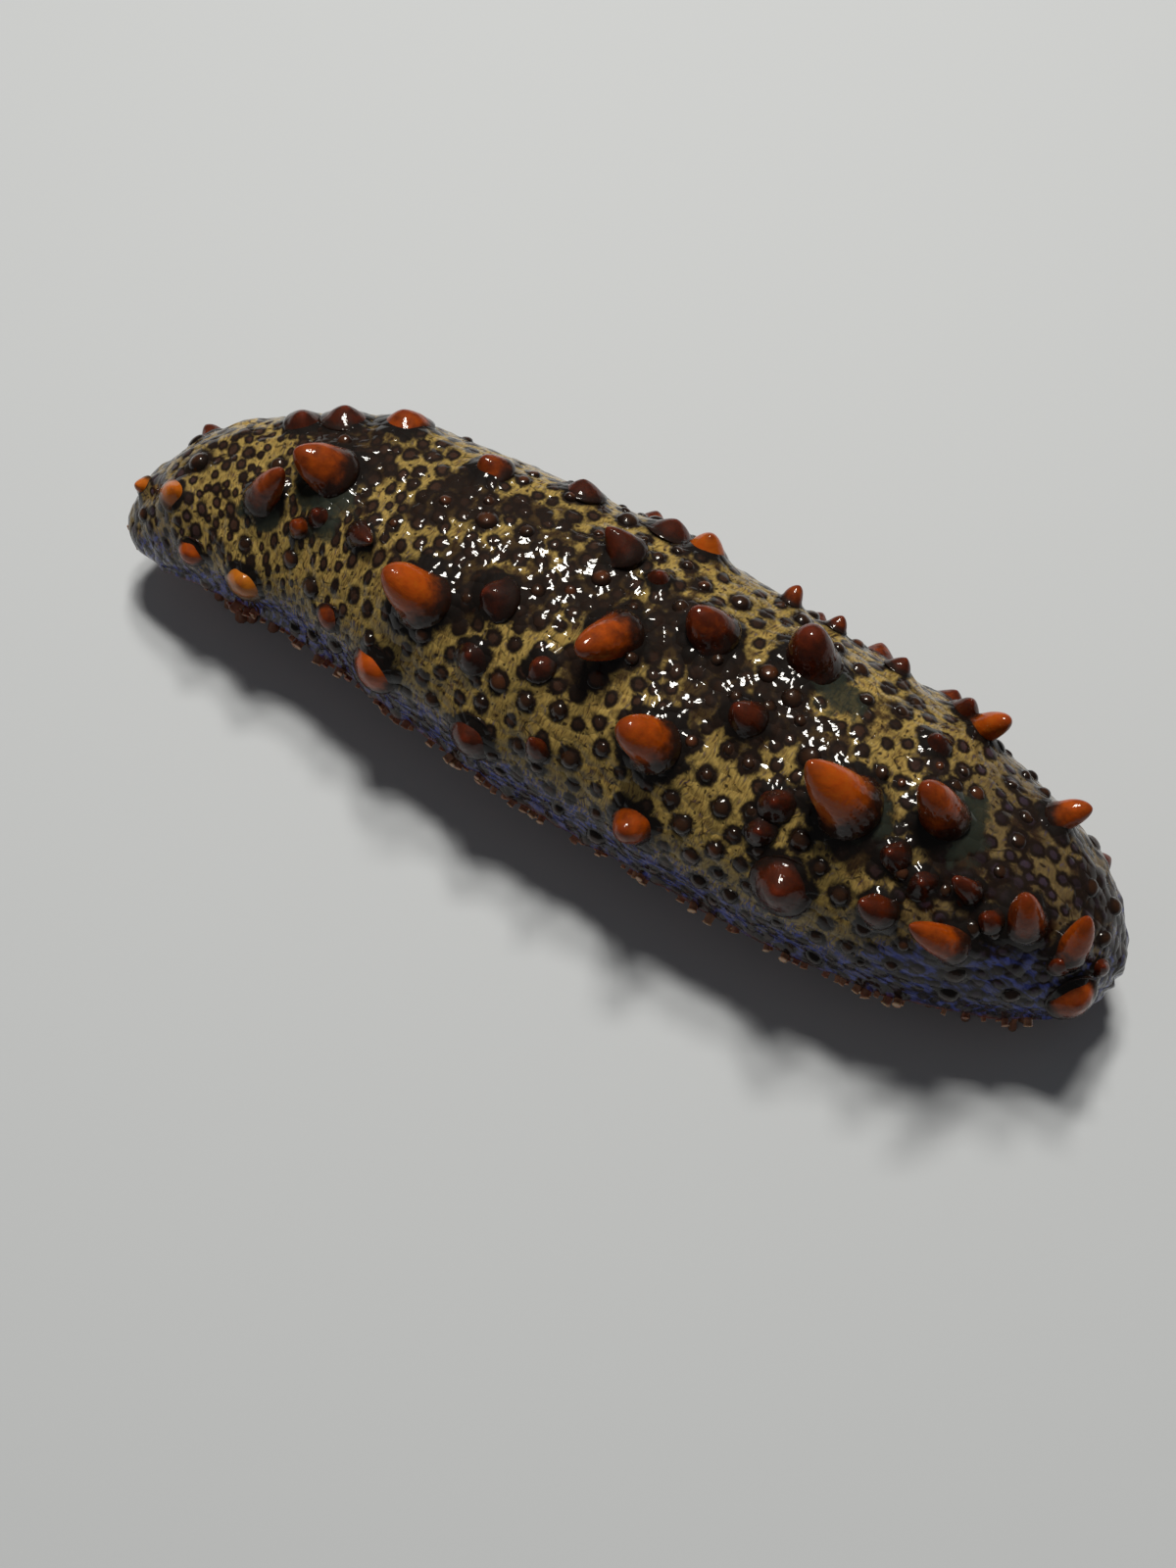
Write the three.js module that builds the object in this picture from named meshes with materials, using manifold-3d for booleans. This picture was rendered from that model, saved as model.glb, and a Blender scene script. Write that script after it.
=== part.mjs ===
// A giant sea cucumber of the northern Pacific, drawn in and plump, as a still, life-size model.
// It lies on its sole with the head end turned to its left and bent down, and its tube feet on the floor.
// Lengths are in millimetres and angles in degrees. +X runs towards the vent, +Y towards the animal's
// right, +Z up, and the floor is z = 0. A place on the skin is given as along, the distance from the mouth
// down the middle line, and around, the angle from the middle of the back, growing towards the right.
import * as THREE from "three";
import { mergeVertices } from "three/addons/utils/BufferGeometryUtils.js";
import Module from "manifold-3d";

const wasm = await Module();
wasm.setup();

// Driving sizes of the body
const LENGTH = 250; // from mouth to vent down the middle line
const HALF_WIDTH = 34; // at mid length
const BACK_RISE = 30; // from the middle line up to the back, at mid length
const BELLY_DROP = 21; // from the middle line down to the belly, at mid length
const MIDDLE_HEIGHT = 24.5; // of the middle line above the floor, at mid length
const MIDDLE_PLACE = new THREE.Vector2(-3.3, -0.5); // of mid length: the origin is then under the middle
const BACK_ROUNDNESS = 2.15; // 2 is an ellipse, more is squarer
const BELLY_ROUNDNESS = 2.9;
const HEAD_TAPER = { power: 1.95, root: 0.57 };
const TAIL_TAPER = { power: 3.0, root: 0.545 };
const HEAD_TURN = { angle: 40, over: 86 }; // to its left, over so many millimetres
const HEAD_BOW = { angle: 28, over: 42 }; // down
const TAIL_TURN = { angle: 8, over: 60 }; // to its right
const TAIL_BOW = { angle: 34, over: 45 }; // down
const BELLY_LEVEL = 3.5; // the height above the floor at which the belly lies level
const HEAD_RISE = { from: 5, to: 34 }; // distances from the mouth between which the belly becomes level
const TAIL_RISE = { from: 2, to: 26 }; // the same from the vent

// Where the body is parted, and how
const GAP = 0.3;
const MOUTH_END = 6;
const VENT_START = 245;
const TRUNK_PARTS = [
  ["head_end", MOUTH_END, 29],
  ["trunk_front", 29, 75],
  ["trunk_middle", 75, 136],
  ["trunk_rear", 136, 210.5],
  ["tail_end", 210.5, VENT_START],
];
const SOLE_HEIGHT = 8; // the sole is what lies below this
const SOLE_PARTS = [
  ["sole_front", 6, 92],
  ["sole_middle", 92, 160],
  ["sole_rear", 160, 244],
];

// How finely the solids are faceted
const BODY_SIDES = 28;
const BODY_ROWS = 36;
const PAPILLA_SIDES = 7;
const WART_SIDES = 6;
const FOOT_SIDES = 5;
const BUD_SIDES = 5;

// Colours of the solids
const BACK_COLOUR = 0x7a6a35;
const SOLE_COLOUR = 0x9a5a42;
const MOUTH_COLOUR = 0x4a3222;
const SKIN_ROUGHNESS = 0.35;

const radians = THREE.MathUtils.degToRad;

// Repeatable draws between 0 and 1: each state is the last one times a fixed factor, modulo a prime
function drawsFrom(seed) {
  let state = seed;
  return () => {
    state = (state * 48271) % 2147483647;
    return state / 2147483647;
  };
}

// The middle line

// A turn that is whole at the tip and eases to nothing over the stated length
function eased(turn, fromTip) {
  return radians(turn.angle) * THREE.MathUtils.smoothstep(1 - fromTip / turn.over, 0, 1);
}

function directionAt(along) {
  const yaw = eased(HEAD_TURN, along) + eased(TAIL_TURN, LENGTH - along);
  const pitch = eased(HEAD_BOW, along) - eased(TAIL_BOW, LENGTH - along);
  const level = Math.cos(pitch);
  return {
    forward: new THREE.Vector3(Math.cos(yaw) * level, Math.sin(yaw) * level, Math.sin(pitch)),
    right: new THREE.Vector3(-Math.sin(yaw), Math.cos(yaw), 0),
  };
}

// Points of the middle line, one each STEP, with mid length at its stated place
const STEP = 0.5;
const MIDDLE_LINE = (() => {
  const points = [new THREE.Vector3()];
  for (let along = STEP / 2; along < LENGTH; along += STEP) {
    points.push(points.at(-1).clone().addScaledVector(directionAt(along).forward, STEP));
  }
  const middle = points[LENGTH / STEP / 2].clone();
  const place = new THREE.Vector3(MIDDLE_PLACE.x, MIDDLE_PLACE.y, MIDDLE_HEIGHT);
  return points.map((point) => point.sub(middle).add(place));
})();

function frameAt(along) {
  const step = THREE.MathUtils.clamp(along / STEP, 0, MIDDLE_LINE.length - 1);
  const before = Math.min(Math.floor(step), MIDDLE_LINE.length - 2);
  const centre = MIDDLE_LINE[before].clone().lerp(MIDDLE_LINE[before + 1], step - before);
  const { forward, right } = directionAt(along);
  return { centre, forward, right, up: forward.clone().cross(right) };
}

// The skin

// Girth as a share of the girth at mid length, round at both ends
function fullness(along) {
  const fromMiddle = (2 * along) / LENGTH - 1;
  const taper = fromMiddle < 0 ? HEAD_TAPER : TAIL_TAPER;
  return (1 - Math.min(Math.abs(fromMiddle), 1) ** taper.power) ** taper.root;
}

const signedPower = (value, power) => Math.sign(value) * Math.abs(value) ** power;

// How far the belly hangs below the middle line: it lies level, but is round near both tips
function bellyDrop(along, middle, up) {
  const round = BELLY_DROP * fullness(along);
  const level = (middle.z - BELLY_LEVEL) / up.z;
  const atHead = THREE.MathUtils.smoothstep(along, HEAD_RISE.from, HEAD_RISE.to);
  const atTail = THREE.MathUtils.smoothstep(LENGTH - along, TAIL_RISE.from, TAIL_RISE.to);
  return THREE.MathUtils.lerp(round, level, atHead * atTail);
}

// A point of the skin, or between it and the middle line where share is under 1
function skinPoint(along, around, share = 1) {
  const { centre, right, up } = frameAt(along);
  const side = Math.sin(radians(around));
  const height = Math.cos(radians(around));
  const power = 2 / (height > 0 ? BACK_ROUNDNESS : BELLY_ROUNDNESS);
  const girth = fullness(along);
  const depth = height > 0 ? BACK_RISE * girth : bellyDrop(along, centre, up);
  return centre
    .addScaledVector(right, share * HALF_WIDTH * girth * signedPower(side, power))
    .addScaledVector(up, share * depth * signedPower(height, power));
}

// The belly's height above the floor at a distance to one side of the middle line
function bellyHeight(along, offset) {
  const { centre, up } = frameAt(along);
  const across = Math.min(Math.abs(offset) / (HALF_WIDTH * fullness(along)), 1);
  const share = (1 - across ** BELLY_ROUNDNESS) ** (1 / BELLY_ROUNDNESS);
  return centre.z - up.z * bellyDrop(along, centre, up) * share;
}

// The skin's own directions at a place: out of it, along it and around it
function skinFrame(along, around) {
  const point = skinPoint(along, around);
  const towardsVent = skinPoint(along + 1, around).sub(skinPoint(along - 1, around)).normalize();
  const across = skinPoint(along, around + 1).sub(skinPoint(along, around - 1)).normalize();
  const out = towardsVent.clone().cross(across).normalize();
  return { point, out, towardsVent, towardsRight: out.clone().cross(towardsVent) };
}

// Closed forms

// A ball's mesh, of so many sides and rows from pole to pole, whose points are carried to pointAt(turn, row)
function closedForm(sides, rows, pointAt) {
  const form = new THREE.SphereGeometry(1, sides, rows);
  const { position, uv } = form.attributes;
  for (let i = 0; i < position.count; i += 1) {
    const point = pointAt(uv.getX(i), Math.round((1 - uv.getY(i)) * rows));
    position.setXYZ(i, point.x, point.y, point.z);
  }
  return solidOf(form);
}

function solidOf(geometry) {
  geometry.deleteAttribute("normal");
  geometry.deleteAttribute("uv");
  const merged = mergeVertices(geometry, 1e-4);
  const shape = { numProp: 3, vertProperties: merged.attributes.position.array };
  return new wasm.Manifold(new wasm.Mesh({ ...shape, triVerts: new Uint32Array(merged.index.array) }));
}

function block(low, high) {
  const size = high.clone().sub(low);
  const geometry = new THREE.BoxGeometry(size.x, size.y, size.z);
  const middle = low.clone().add(high).multiplyScalar(0.5);
  return solidOf(geometry.translate(middle.x, middle.y, middle.z));
}

const RING_CLEARANCE = 0.2; // a ring nearer to a cut than this is left out

// A length of the body between two places, flat where it is parted and round where it is the body's tip
function bodyLength(from, to) {
  const rings = [from];
  for (let row = 1; row < BODY_ROWS; row += 1) {
    const along = (LENGTH * (1 - Math.cos((Math.PI * row) / BODY_ROWS))) / 2;
    if (along > from + RING_CLEARANCE && along < to - RING_CLEARANCE) rings.push(along);
  }
  rings.push(to);
  if (from > 0) rings.unshift(from);
  if (to < LENGTH) rings.push(to);
  const last = rings.length - 1;
  return closedForm(BODY_SIDES, last, (turn, row) => {
    const share = row === 0 || row === last ? 0 : 1;
    return skinPoint(rings[row], 360 * turn, share);
  });
}

const LEAN_POWER = 1.3; // a tip leans by its height's share to this power, so that its foot stands upright

// A round-sided form that rises from a place on the skin. The profile gives, for each row, its height as a
// share of the whole height and its radius as a share of half the width. The tip leans as it rises.
function rise(place, sides, profile) {
  const { point, out, towardsVent, towardsRight } = skinFrame(place.along, place.around);
  const lean = towardsVent.clone().multiplyScalar(place.leanVent ?? 0);
  lean.addScaledVector(towardsRight, place.leanRight ?? 0);
  return closedForm(sides, profile.length - 1, (turn, row) => {
    const [share, radius] = profile[row];
    const above = Math.max(share, 0);
    const slope = LEAN_POWER * above ** (LEAN_POWER - 1);
    const axis = out.clone().addScaledVector(lean, slope).normalize();
    const first = towardsVent.clone().addScaledVector(axis, -towardsVent.dot(axis)).normalize();
    const second = first.clone().cross(axis);
    const wide = (radius * place.width) / 2;
    return point
      .clone()
      .addScaledVector(out, place.height * share)
      .addScaledVector(lean, place.height * above ** LEAN_POWER)
      .addScaledVector(first, wide * Math.cos(2 * Math.PI * turn))
      .addScaledVector(second, wide * Math.sin(2 * Math.PI * turn));
  });
}

const PAPILLA_PROFILE = [[-0.3, 0], [-0.3, 1], [0.35, 0.9], [0.75, 0.6], [0.94, 0.27], [1, 0]];
const WART_PROFILE = [[-0.7, 0], [-0.7, 1], [0.55, 0.8], [1, 0]];
const STUB_PROFILE = [[-0.5, 0], [-0.5, 1], [0.8, 0.8], [1, 0]];

// Papillae

// The papillae seen on the back and the near side, read off from head to tail: along, around, height, width,
// and how far the tip leans towards the vent and towards the right for each millimetre of height
const SEEN_PAPILLAE = [
  [10.5, 18, 2.5, 3.8, 0.3, -0.8],
  [19.5, -12, 3.5, 6, 0.7, -0.1],
  [21, -60, 2.2, 5.5, 0.3, 0.2],
  [36, -73, 3.8, 8.5, 0.2, 0.5],
  [39, -20, 8, 7, 0.9, 0.6],
  [41.5, 30, 3, 7, 0.3, -0.3],
  [49, 36, 3.5, 9, 0.1, 0],
  [53, -2, 9, 10.5, -0.6, -0.15],
  [50.5, -31, 3.5, 4, 0.1, 0.3],
  [55, -23, 3.5, 4.5, 0.1, 0.2],
  [60, 40, 4, 10, -0.1, -0.15],
  [66.5, -66, 1.6, 5, 0.3, 0.3],
  [67, -23, 3.8, 5, 1.3, -0.2],
  [82, 28, 3.5, 7.5, -0.5, -0.5],
  [83.5, -74, 3.6, 9, 0.1, 0.5],
  [88, -32, 11, 11, -0.5, 0.15],
  [100, 44, 3, 8, -0.2, 0],
  [102, -18, 3.5, 8, -0.5, -0.2],
  [104, -41, 3, 6, 0, 0.1],
  [110, -74, 3.5, 8.5, 0, 0.4],
  [118, 21, 4.5, 7.5, -1.1, -0.2],
  [118, -31, 2, 5.5, -0.4, 0.2],
  [121, 50, 3.5, 9, 0, 0],
  [125.5, -61, 3.5, 4.5, -0.4, 1.2],
  [128, 17, 3, 4.6, 0, -0.3],
  [130, 49, 5, 8, 0, -0.5],
  [128.5, -8, 9, 9, -0.3, -1.1],
  [151, 52, 4, 4.5, 0, 0],
  [162, 54, 3, 4, 0, 0],
  [163.5, 21, 9.5, 10.5, -0.2, -0.25],
  [174, -30, 3.8, 6, 0, 0.1],
  [174, -42, 2.8, 5, 0, 0.1],
  [178, 53, 3, 5, 0, 0],
  [183, -58, 6, 10, 0, 0.2],
  [186.5, -18, 14, 11.5, -0.75, 0.1],
  [194, 21, 3, 5, -0.2, -0.2],
  [194, 57, 4, 6, 0, -0.9],
  [199, 51, 7, 6.5, 0.55, -0.7],
  [199, -25, 3.8, 5.5, -0.4, 0],
  [201.5, -48, 5, 6.5, -0.85, 0.4],
  [203, -3, 12, 9, -0.6, -0.1],
  [206, -29, 3, 5.5, -0.2, 0],
  [213.5, -23, 4.5, 4.5, -1.1, 0.15],
  [215, -48, 8, 7, -1.35, 0.4],
  [220, 34, 7, 6.5, 0.4, 0],
  [218, -30, 3, 4.5, -0.7, 0.1],
  [222.5, -22, 8, 7.5, -0.75, 0.45],
  [231, -23, 8, 6.5, -0.85, 0.85],
  [230.5, -32, 2.5, 4.5, -0.7, 0.2],
  [238, -21, 2.5, 3.5, -1, 0.1],
  [237.5, -51, 3.5, 8.4, -0.5, 0.3],
];

// Papillae on the mid back that match the seen ones
const MID_BACK_PAPILLAE = [
  [144, 8, 8, 9.5, -0.5, -0.2],
  [147, -34, 10, 10, -0.6, 0.1],
  [150, -68, 6, 8, 0, 0.4],
  [160, -10, 5, 7, -0.5, 0],
];

const FAR_ROW = {
  seed: 11,
  first: 22,
  last: 236,
  spacing: [15, 24],
  around: [78, 94],
  height: [3, 5.5],
  width: [6, 9],
  leanVent: [0.3, -0.3],
  leanRight: [0, -0.4],
};

const between = (draw, [low, high]) => low + (high - low) * draw();

const asPlace = ([along, around, height, width, leanVent, leanRight]) => ({
  along, around, height, width, leanVent, leanRight,
});

// The row along the right flank: the left flank's own row is among those read off
function farRow() {
  const draw = drawsFrom(FAR_ROW.seed);
  const places = [];
  for (let along = FAR_ROW.first; along < FAR_ROW.last; along += between(draw, FAR_ROW.spacing)) {
    const around = between(draw, FAR_ROW.around);
    const size = (1 + fullness(along)) / 2;
    const height = size * between(draw, FAR_ROW.height);
    const width = size * between(draw, FAR_ROW.width);
    const leanVent = between(draw, FAR_ROW.leanVent);
    const leanRight = between(draw, FAR_ROW.leanRight);
    places.push({ along, around, height, width, leanVent, leanRight });
  }
  return places;
}

// Whether a form at this place stays clear of the planes that part the body
function clearOfCuts(place, margin) {
  const cuts = TRUNK_PARTS.flatMap(([, from, to]) => [from, to]);
  return cuts.every((cut) => Math.abs(place.along - cut) > place.width / 2 + margin);
}

const CUT_MARGIN = 0.7;

// The small blunt feet of both flanks, just above the sole's edge
const FLANK_FEET = {
  seed: 23,
  first: 16,
  last: 240,
  spacing: [9, 14],
  around: [102, 114],
  height: [1.6, 2.4],
  width: [3, 4],
};

function flankFeet() {
  const draw = drawsFrom(FLANK_FEET.seed);
  const places = [];
  for (const side of [-1, 1]) {
    for (let along = FLANK_FEET.first; along < FLANK_FEET.last; along += between(draw, FLANK_FEET.spacing)) {
      const around = side * between(draw, FLANK_FEET.around);
      const height = between(draw, FLANK_FEET.height);
      const width = between(draw, FLANK_FEET.width);
      places.push({ along, around, height, width, leanVent: 0, leanRight: 0 });
    }
  }
  return places.filter((place) => clearOfCuts(place, CUT_MARGIN));
}

// The larger warts of the back and flanks, drawn at random and kept apart from papillae and each other
const WARTS = {
  seed: 5,
  count: 64,
  along: [10, 240],
  around: [-95, 95],
  width: [3.8, 6],
  slimness: 0.34, // height as a share of the width
};
const WART_SPACING = 1.6;

function warts(papillae) {
  const draw = drawsFrom(WARTS.seed);
  const kept = [];
  const taken = papillae.map(({ along, around, width }) => ({ point: skinPoint(along, around), width }));
  while (kept.length < WARTS.count) {
    const along = between(draw, WARTS.along);
    const around = between(draw, WARTS.around);
    const width = between(draw, WARTS.width);
    const place = { along, around, width, height: width * WARTS.slimness };
    const point = skinPoint(along, around);
    const gapTo = (other) => point.distanceTo(other.point) - (width + other.width) / 2;
    const free = taken.every((other) => gapTo(other) > WART_SPACING);
    if (free && clearOfCuts(place, CUT_MARGIN)) {
      kept.push(place);
      taken.push({ point, width });
    }
  }
  return kept;
}

// Tube feet of the sole, in a middle band and two side bands, each a stalk that spreads into a flat sucker

const FOOT = { buried: 1.2, root: 1.2, ankleHeight: 0.9, ankle: 1, disc: 1.75 };
const FOOT_REACH = 6.4; // no tube foot stands where the belly is higher than this
const FEET = {
  seed: 37,
  first: 20,
  last: 236,
  spacing: 12.5,
  jitter: 1.4,
  bands: [-19.5, -13, -3.5, 3.5, 13, 19.5],
  splay: 0.12,
  bandWidening: 0.05, // the bands narrow a little less than the body does
};
const FEET_CUT_MARGIN = 2.1;

function tubeFoot(along, offset) {
  const { centre, right } = frameAt(along);
  const foot = centre.addScaledVector(right, offset);
  const top = bellyHeight(along, offset) + FOOT.buried;
  const rows = [
    [top, 0],
    [top, FOOT.root],
    [FOOT.ankleHeight, FOOT.ankle],
    [0, FOOT.disc],
    [0, 0],
  ];
  return closedForm(FOOT_SIDES, rows.length - 1, (turn, row) => {
    const [height, radius] = rows[row];
    const reach = offset * FEET.splay * (1 - height / top);
    return new THREE.Vector3(foot.x, foot.y, height)
      .addScaledVector(right, reach - radius * Math.cos(2 * Math.PI * turn))
      .addScaledVector(new THREE.Vector3(right.y, -right.x, 0), radius * Math.sin(2 * Math.PI * turn));
  });
}

// The tube feet between two cuts, in every other band at each step
function tubeFeet(from, to) {
  const draw = drawsFrom(FEET.seed);
  const feet = [];
  let step = 0;
  for (let row = FEET.first; row < FEET.last; row += FEET.spacing / 2) {
    for (const [band, offset] of FEET.bands.entries()) {
      const along = row + FEET.jitter * (2 * draw() - 1);
      const narrowed = Math.min(1, fullness(row) + FEET.bandWidening);
      const across = offset * narrowed + FEET.jitter * (2 * draw() - 1);
      const inside = along > from + FEET_CUT_MARGIN && along < to - FEET_CUT_MARGIN;
      const low = bellyHeight(along, across) < FOOT_REACH;
      if ((band + step) % 2 === 0 && inside && low) feet.push(tubeFoot(along, across));
    }
    step += 1;
  }
  return feet;
}

// Mouth and vent

// A pit of a stated radius and depth that opens outwards at an end of the body, made on its middle line
function pit(along, outward, profile, sides) {
  const { centre, forward, right, up } = frameAt(along);
  const out = forward.multiplyScalar(outward);
  return closedForm(sides, profile.length - 1, (turn, row) => {
    const [height, radius] = profile[row];
    return centre
      .clone()
      .addScaledVector(out, height)
      .addScaledVector(right, outward * radius * Math.cos(2 * Math.PI * turn))
      .addScaledVector(up, radius * Math.sin(2 * Math.PI * turn));
  });
}

const PIT_MOUTH = 4; // a pit's form begins this far outside the body
const MOUTH_FACE = 1.4; // the lip stands so far from the middle line's tip
const MOUTH_PIT = { radius: 6, depth: 3, throat: 1.6, throatDepth: 3.7, sides: 14 };
const BUDS = { count: 20, seed: 3, radius: [2.6, 4], width: [1, 1.15], height: [1.9, 2.6], unevenness: 0.3 };
const VENT_PIT = { radius: 2.6, depth: 3, sides: 12 };
const PUCKERS = { count: 8, radius: 4, width: 2.3, height: 0.9, foot: 0.6 };
const BUD = { root: 1.4, rootShare: 0.8, shoulder: 0.75, splay: 0.25 };

// A short blunt bud that stands on an end of the body, off its middle line
function bud(along, outward, turn, radius, width, height) {
  const { centre, forward, right, up } = frameAt(along);
  const out = forward.multiplyScalar(outward);
  const away = right.clone().multiplyScalar(Math.cos(turn)).addScaledVector(up, Math.sin(turn));
  const beside = away.clone().cross(out);
  const rows = [[-BUD.root, 0], [-BUD.root, BUD.rootShare], [height * BUD.shoulder, 1], [height, 0]];
  return closedForm(BUD_SIDES, rows.length - 1, (spin, row) => {
    const [reach, share] = rows[row];
    return centre
      .clone()
      .addScaledVector(away, radius + BUD.splay * Math.max(reach, 0))
      .addScaledVector(out, reach)
      .addScaledVector(away, (share * width * Math.cos(2 * Math.PI * spin)) / 2)
      .addScaledVector(beside, (share * width * Math.sin(2 * Math.PI * spin)) / 2);
  });
}

// The muzzle: a lip round a pit, a throat in the pit's floor, and the drawn-in tentacles standing round it
function mouth() {
  const { radius, depth, throat, throatDepth, sides } = MOUTH_PIT;
  const profile = [
    [PIT_MOUTH, 0],
    [PIT_MOUTH, radius],
    [-depth * 0.4, radius * 0.9],
    [-depth, radius * 0.7],
    [-depth, throat],
    [-throatDepth, throat * 0.5],
    [-throatDepth, 0],
  ];
  const draw = drawsFrom(BUDS.seed);
  let solid = bodyLength(0, MOUTH_END - GAP / 2).subtract(pit(MOUTH_FACE, -1, profile, sides));
  for (let i = 0; i < BUDS.count; i += 1) {
    const turn = (2 * Math.PI * (i + BUDS.unevenness * draw())) / BUDS.count;
    const ring = i % 2 ? BUDS.radius[1] : BUDS.radius[0];
    const width = between(draw, BUDS.width);
    const height = between(draw, BUDS.height);
    solid = solid.add(bud(MOUTH_FACE + depth, -1, turn, ring, width, height));
  }
  return solid;
}

// The vent: a small pit with the skin drawn up in folds round it
function vent() {
  const { radius, depth, sides } = VENT_PIT;
  const profile = [
    [PIT_MOUTH, 0],
    [PIT_MOUTH, radius * 1.2],
    [-depth * 0.5, radius * 0.8],
    [-depth, radius * 0.4],
    [-depth, 0],
  ];
  let solid = bodyLength(VENT_START + GAP / 2, LENGTH);
  for (let i = 0; i < PUCKERS.count; i += 1) {
    const turn = (2 * Math.PI * i) / PUCKERS.count;
    solid = solid.add(bud(LENGTH - PUCKERS.foot, 1, turn, PUCKERS.radius, PUCKERS.width, PUCKERS.height));
  }
  return solid.subtract(pit(LENGTH, 1, profile, sides));
}

// Nodes

const SLIVER = 0.01; // vertices nearer to an edge than this are dropped

// The largest closed surface of a solid, as a named mesh
function nodeOf(name, solid, colour) {
  const largest = solid
    .simplify(SLIVER)
    .decompose()
    .reduce((best, body) => (body.volume() > best.volume() ? body : best));
  const { vertProperties, triVerts } = largest.getMesh();
  const geometry = new THREE.BufferGeometry();
  geometry.setAttribute("position", new THREE.BufferAttribute(vertProperties, 3));
  geometry.setIndex(new THREE.BufferAttribute(triVerts, 1));
  geometry.computeVertexNormals();
  const looks = { color: colour, roughness: SKIN_ROUGHNESS, metalness: 0 };
  const mesh = new THREE.Mesh(geometry, new THREE.MeshStandardMaterial(looks));
  mesh.name = name;
  return mesh;
}

const FAR = 300; // past the body's ends and sides

// All that lies between two heights
function layer(low, high) {
  return block(new THREE.Vector3(-FAR, -FAR, low), new THREE.Vector3(FAR, FAR, high));
}

const aboveSole = layer(SOLE_HEIGHT + GAP / 2, FAR);
const belowCut = layer(-FAR, SOLE_HEIGHT - GAP / 2);

const papillae = [...SEEN_PAPILLAE, ...MID_BACK_PAPILLAE]
  .map(asPlace)
  .concat(farRow().filter((place) => clearOfCuts(place, CUT_MARGIN)));
const grown = [
  ...papillae.map((place) => ({ place, sides: PAPILLA_SIDES, profile: PAPILLA_PROFILE })),
  ...flankFeet().map((place) => ({ place, sides: BUD_SIDES, profile: STUB_PROFILE })),
  ...warts(papillae).map((place) => ({ place, sides: WART_SIDES, profile: WART_PROFILE })),
];

function trunkPart([name, from, to]) {
  let solid = bodyLength(from + GAP / 2, to - GAP / 2);
  for (const { place, sides, profile } of grown) {
    if (place.along > from && place.along < to) solid = solid.add(rise(place, sides, profile));
  }
  return nodeOf(name, solid.intersect(aboveSole), BACK_COLOUR);
}

function solePart([name, from, to]) {
  let solid = bodyLength(from + GAP / 2, to - GAP / 2).intersect(belowCut);
  for (const foot of tubeFeet(from, to)) solid = solid.add(foot);
  return nodeOf(name, solid, SOLE_COLOUR);
}

const seaCucumber = new THREE.Group();
seaCucumber.name = "sea_cucumber";
seaCucumber.add(nodeOf("mouth", mouth(), MOUTH_COLOUR));
seaCucumber.add(nodeOf("vent", vent(), MOUTH_COLOUR));
for (const part of TRUNK_PARTS) seaCucumber.add(trunkPart(part));
for (const part of SOLE_PARTS) seaCucumber.add(solePart(part));

export default seaCucumber;
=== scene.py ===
"""The looks of a giant sea cucumber: wet spotted skin, papillae, warts, tube feet, mouth and vent.

Shapes are worked out in millimetres and degrees and become metres when a mesh is made. +X runs towards the
vent, +Y towards the animal's right, and the floor is z = 0. A place on the skin is given as along, the
distance from the mouth down the middle line, and around, the angle from the middle of the back, growing
towards the right.
"""
import math
from functools import cache

import bpy
import numpy as np
from mathutils import Matrix, Vector


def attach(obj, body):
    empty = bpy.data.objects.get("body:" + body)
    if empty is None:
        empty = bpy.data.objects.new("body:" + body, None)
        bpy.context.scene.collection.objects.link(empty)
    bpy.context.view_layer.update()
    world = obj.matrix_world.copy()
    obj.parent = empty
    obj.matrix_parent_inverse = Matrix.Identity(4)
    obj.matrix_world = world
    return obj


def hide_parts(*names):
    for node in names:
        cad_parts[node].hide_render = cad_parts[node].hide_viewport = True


bl_info = {
    "name": "Giant sea cucumber",
    "version": (1, 0, 0),
    "blender": (4, 5, 0),
    "location": "View3D > Sidebar > Sea Cucumber",
    "description": "Dresses the solids of a giant sea cucumber in wet skin, papillae, warts and tube feet",
    "category": "Object",
}

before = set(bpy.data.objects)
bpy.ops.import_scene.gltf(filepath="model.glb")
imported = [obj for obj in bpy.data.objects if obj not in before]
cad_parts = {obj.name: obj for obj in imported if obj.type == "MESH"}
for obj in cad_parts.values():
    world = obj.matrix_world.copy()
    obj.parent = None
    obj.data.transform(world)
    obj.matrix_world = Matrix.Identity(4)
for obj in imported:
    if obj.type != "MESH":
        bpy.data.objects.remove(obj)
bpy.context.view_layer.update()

MM = 0.001  # metres
BODY = "root"

# The body, as its solids have it
LENGTH = 250.0
HALF_WIDTH = 34.0
BACK_RISE = 30.0
BELLY_DROP = 21.0
MIDDLE_PLACE = np.array([-3.3, -0.5, 24.5])
BACK_ROUNDNESS = 2.15
BELLY_ROUNDNESS = 2.9
HEAD_TAPER = (1.95, 0.57)
TAIL_TAPER = (3.0, 0.545)
HEAD_TURN = (40.0, 86.0)
HEAD_BOW = (28.0, 42.0)
TAIL_TURN = (8.0, 60.0)
TAIL_BOW = (34.0, 45.0)
BELLY_LEVEL = 3.5  # the height above the floor at which the belly lies level
HEAD_RISE = (5.0, 34.0)  # distances from the mouth between which the belly becomes level
TAIL_RISE = (2.0, 26.0)  # the same from the vent
LEAST_GIRTH = 0.02  # as a share of that at mid length, which keeps the belly's ratio finite at the tips

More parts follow.
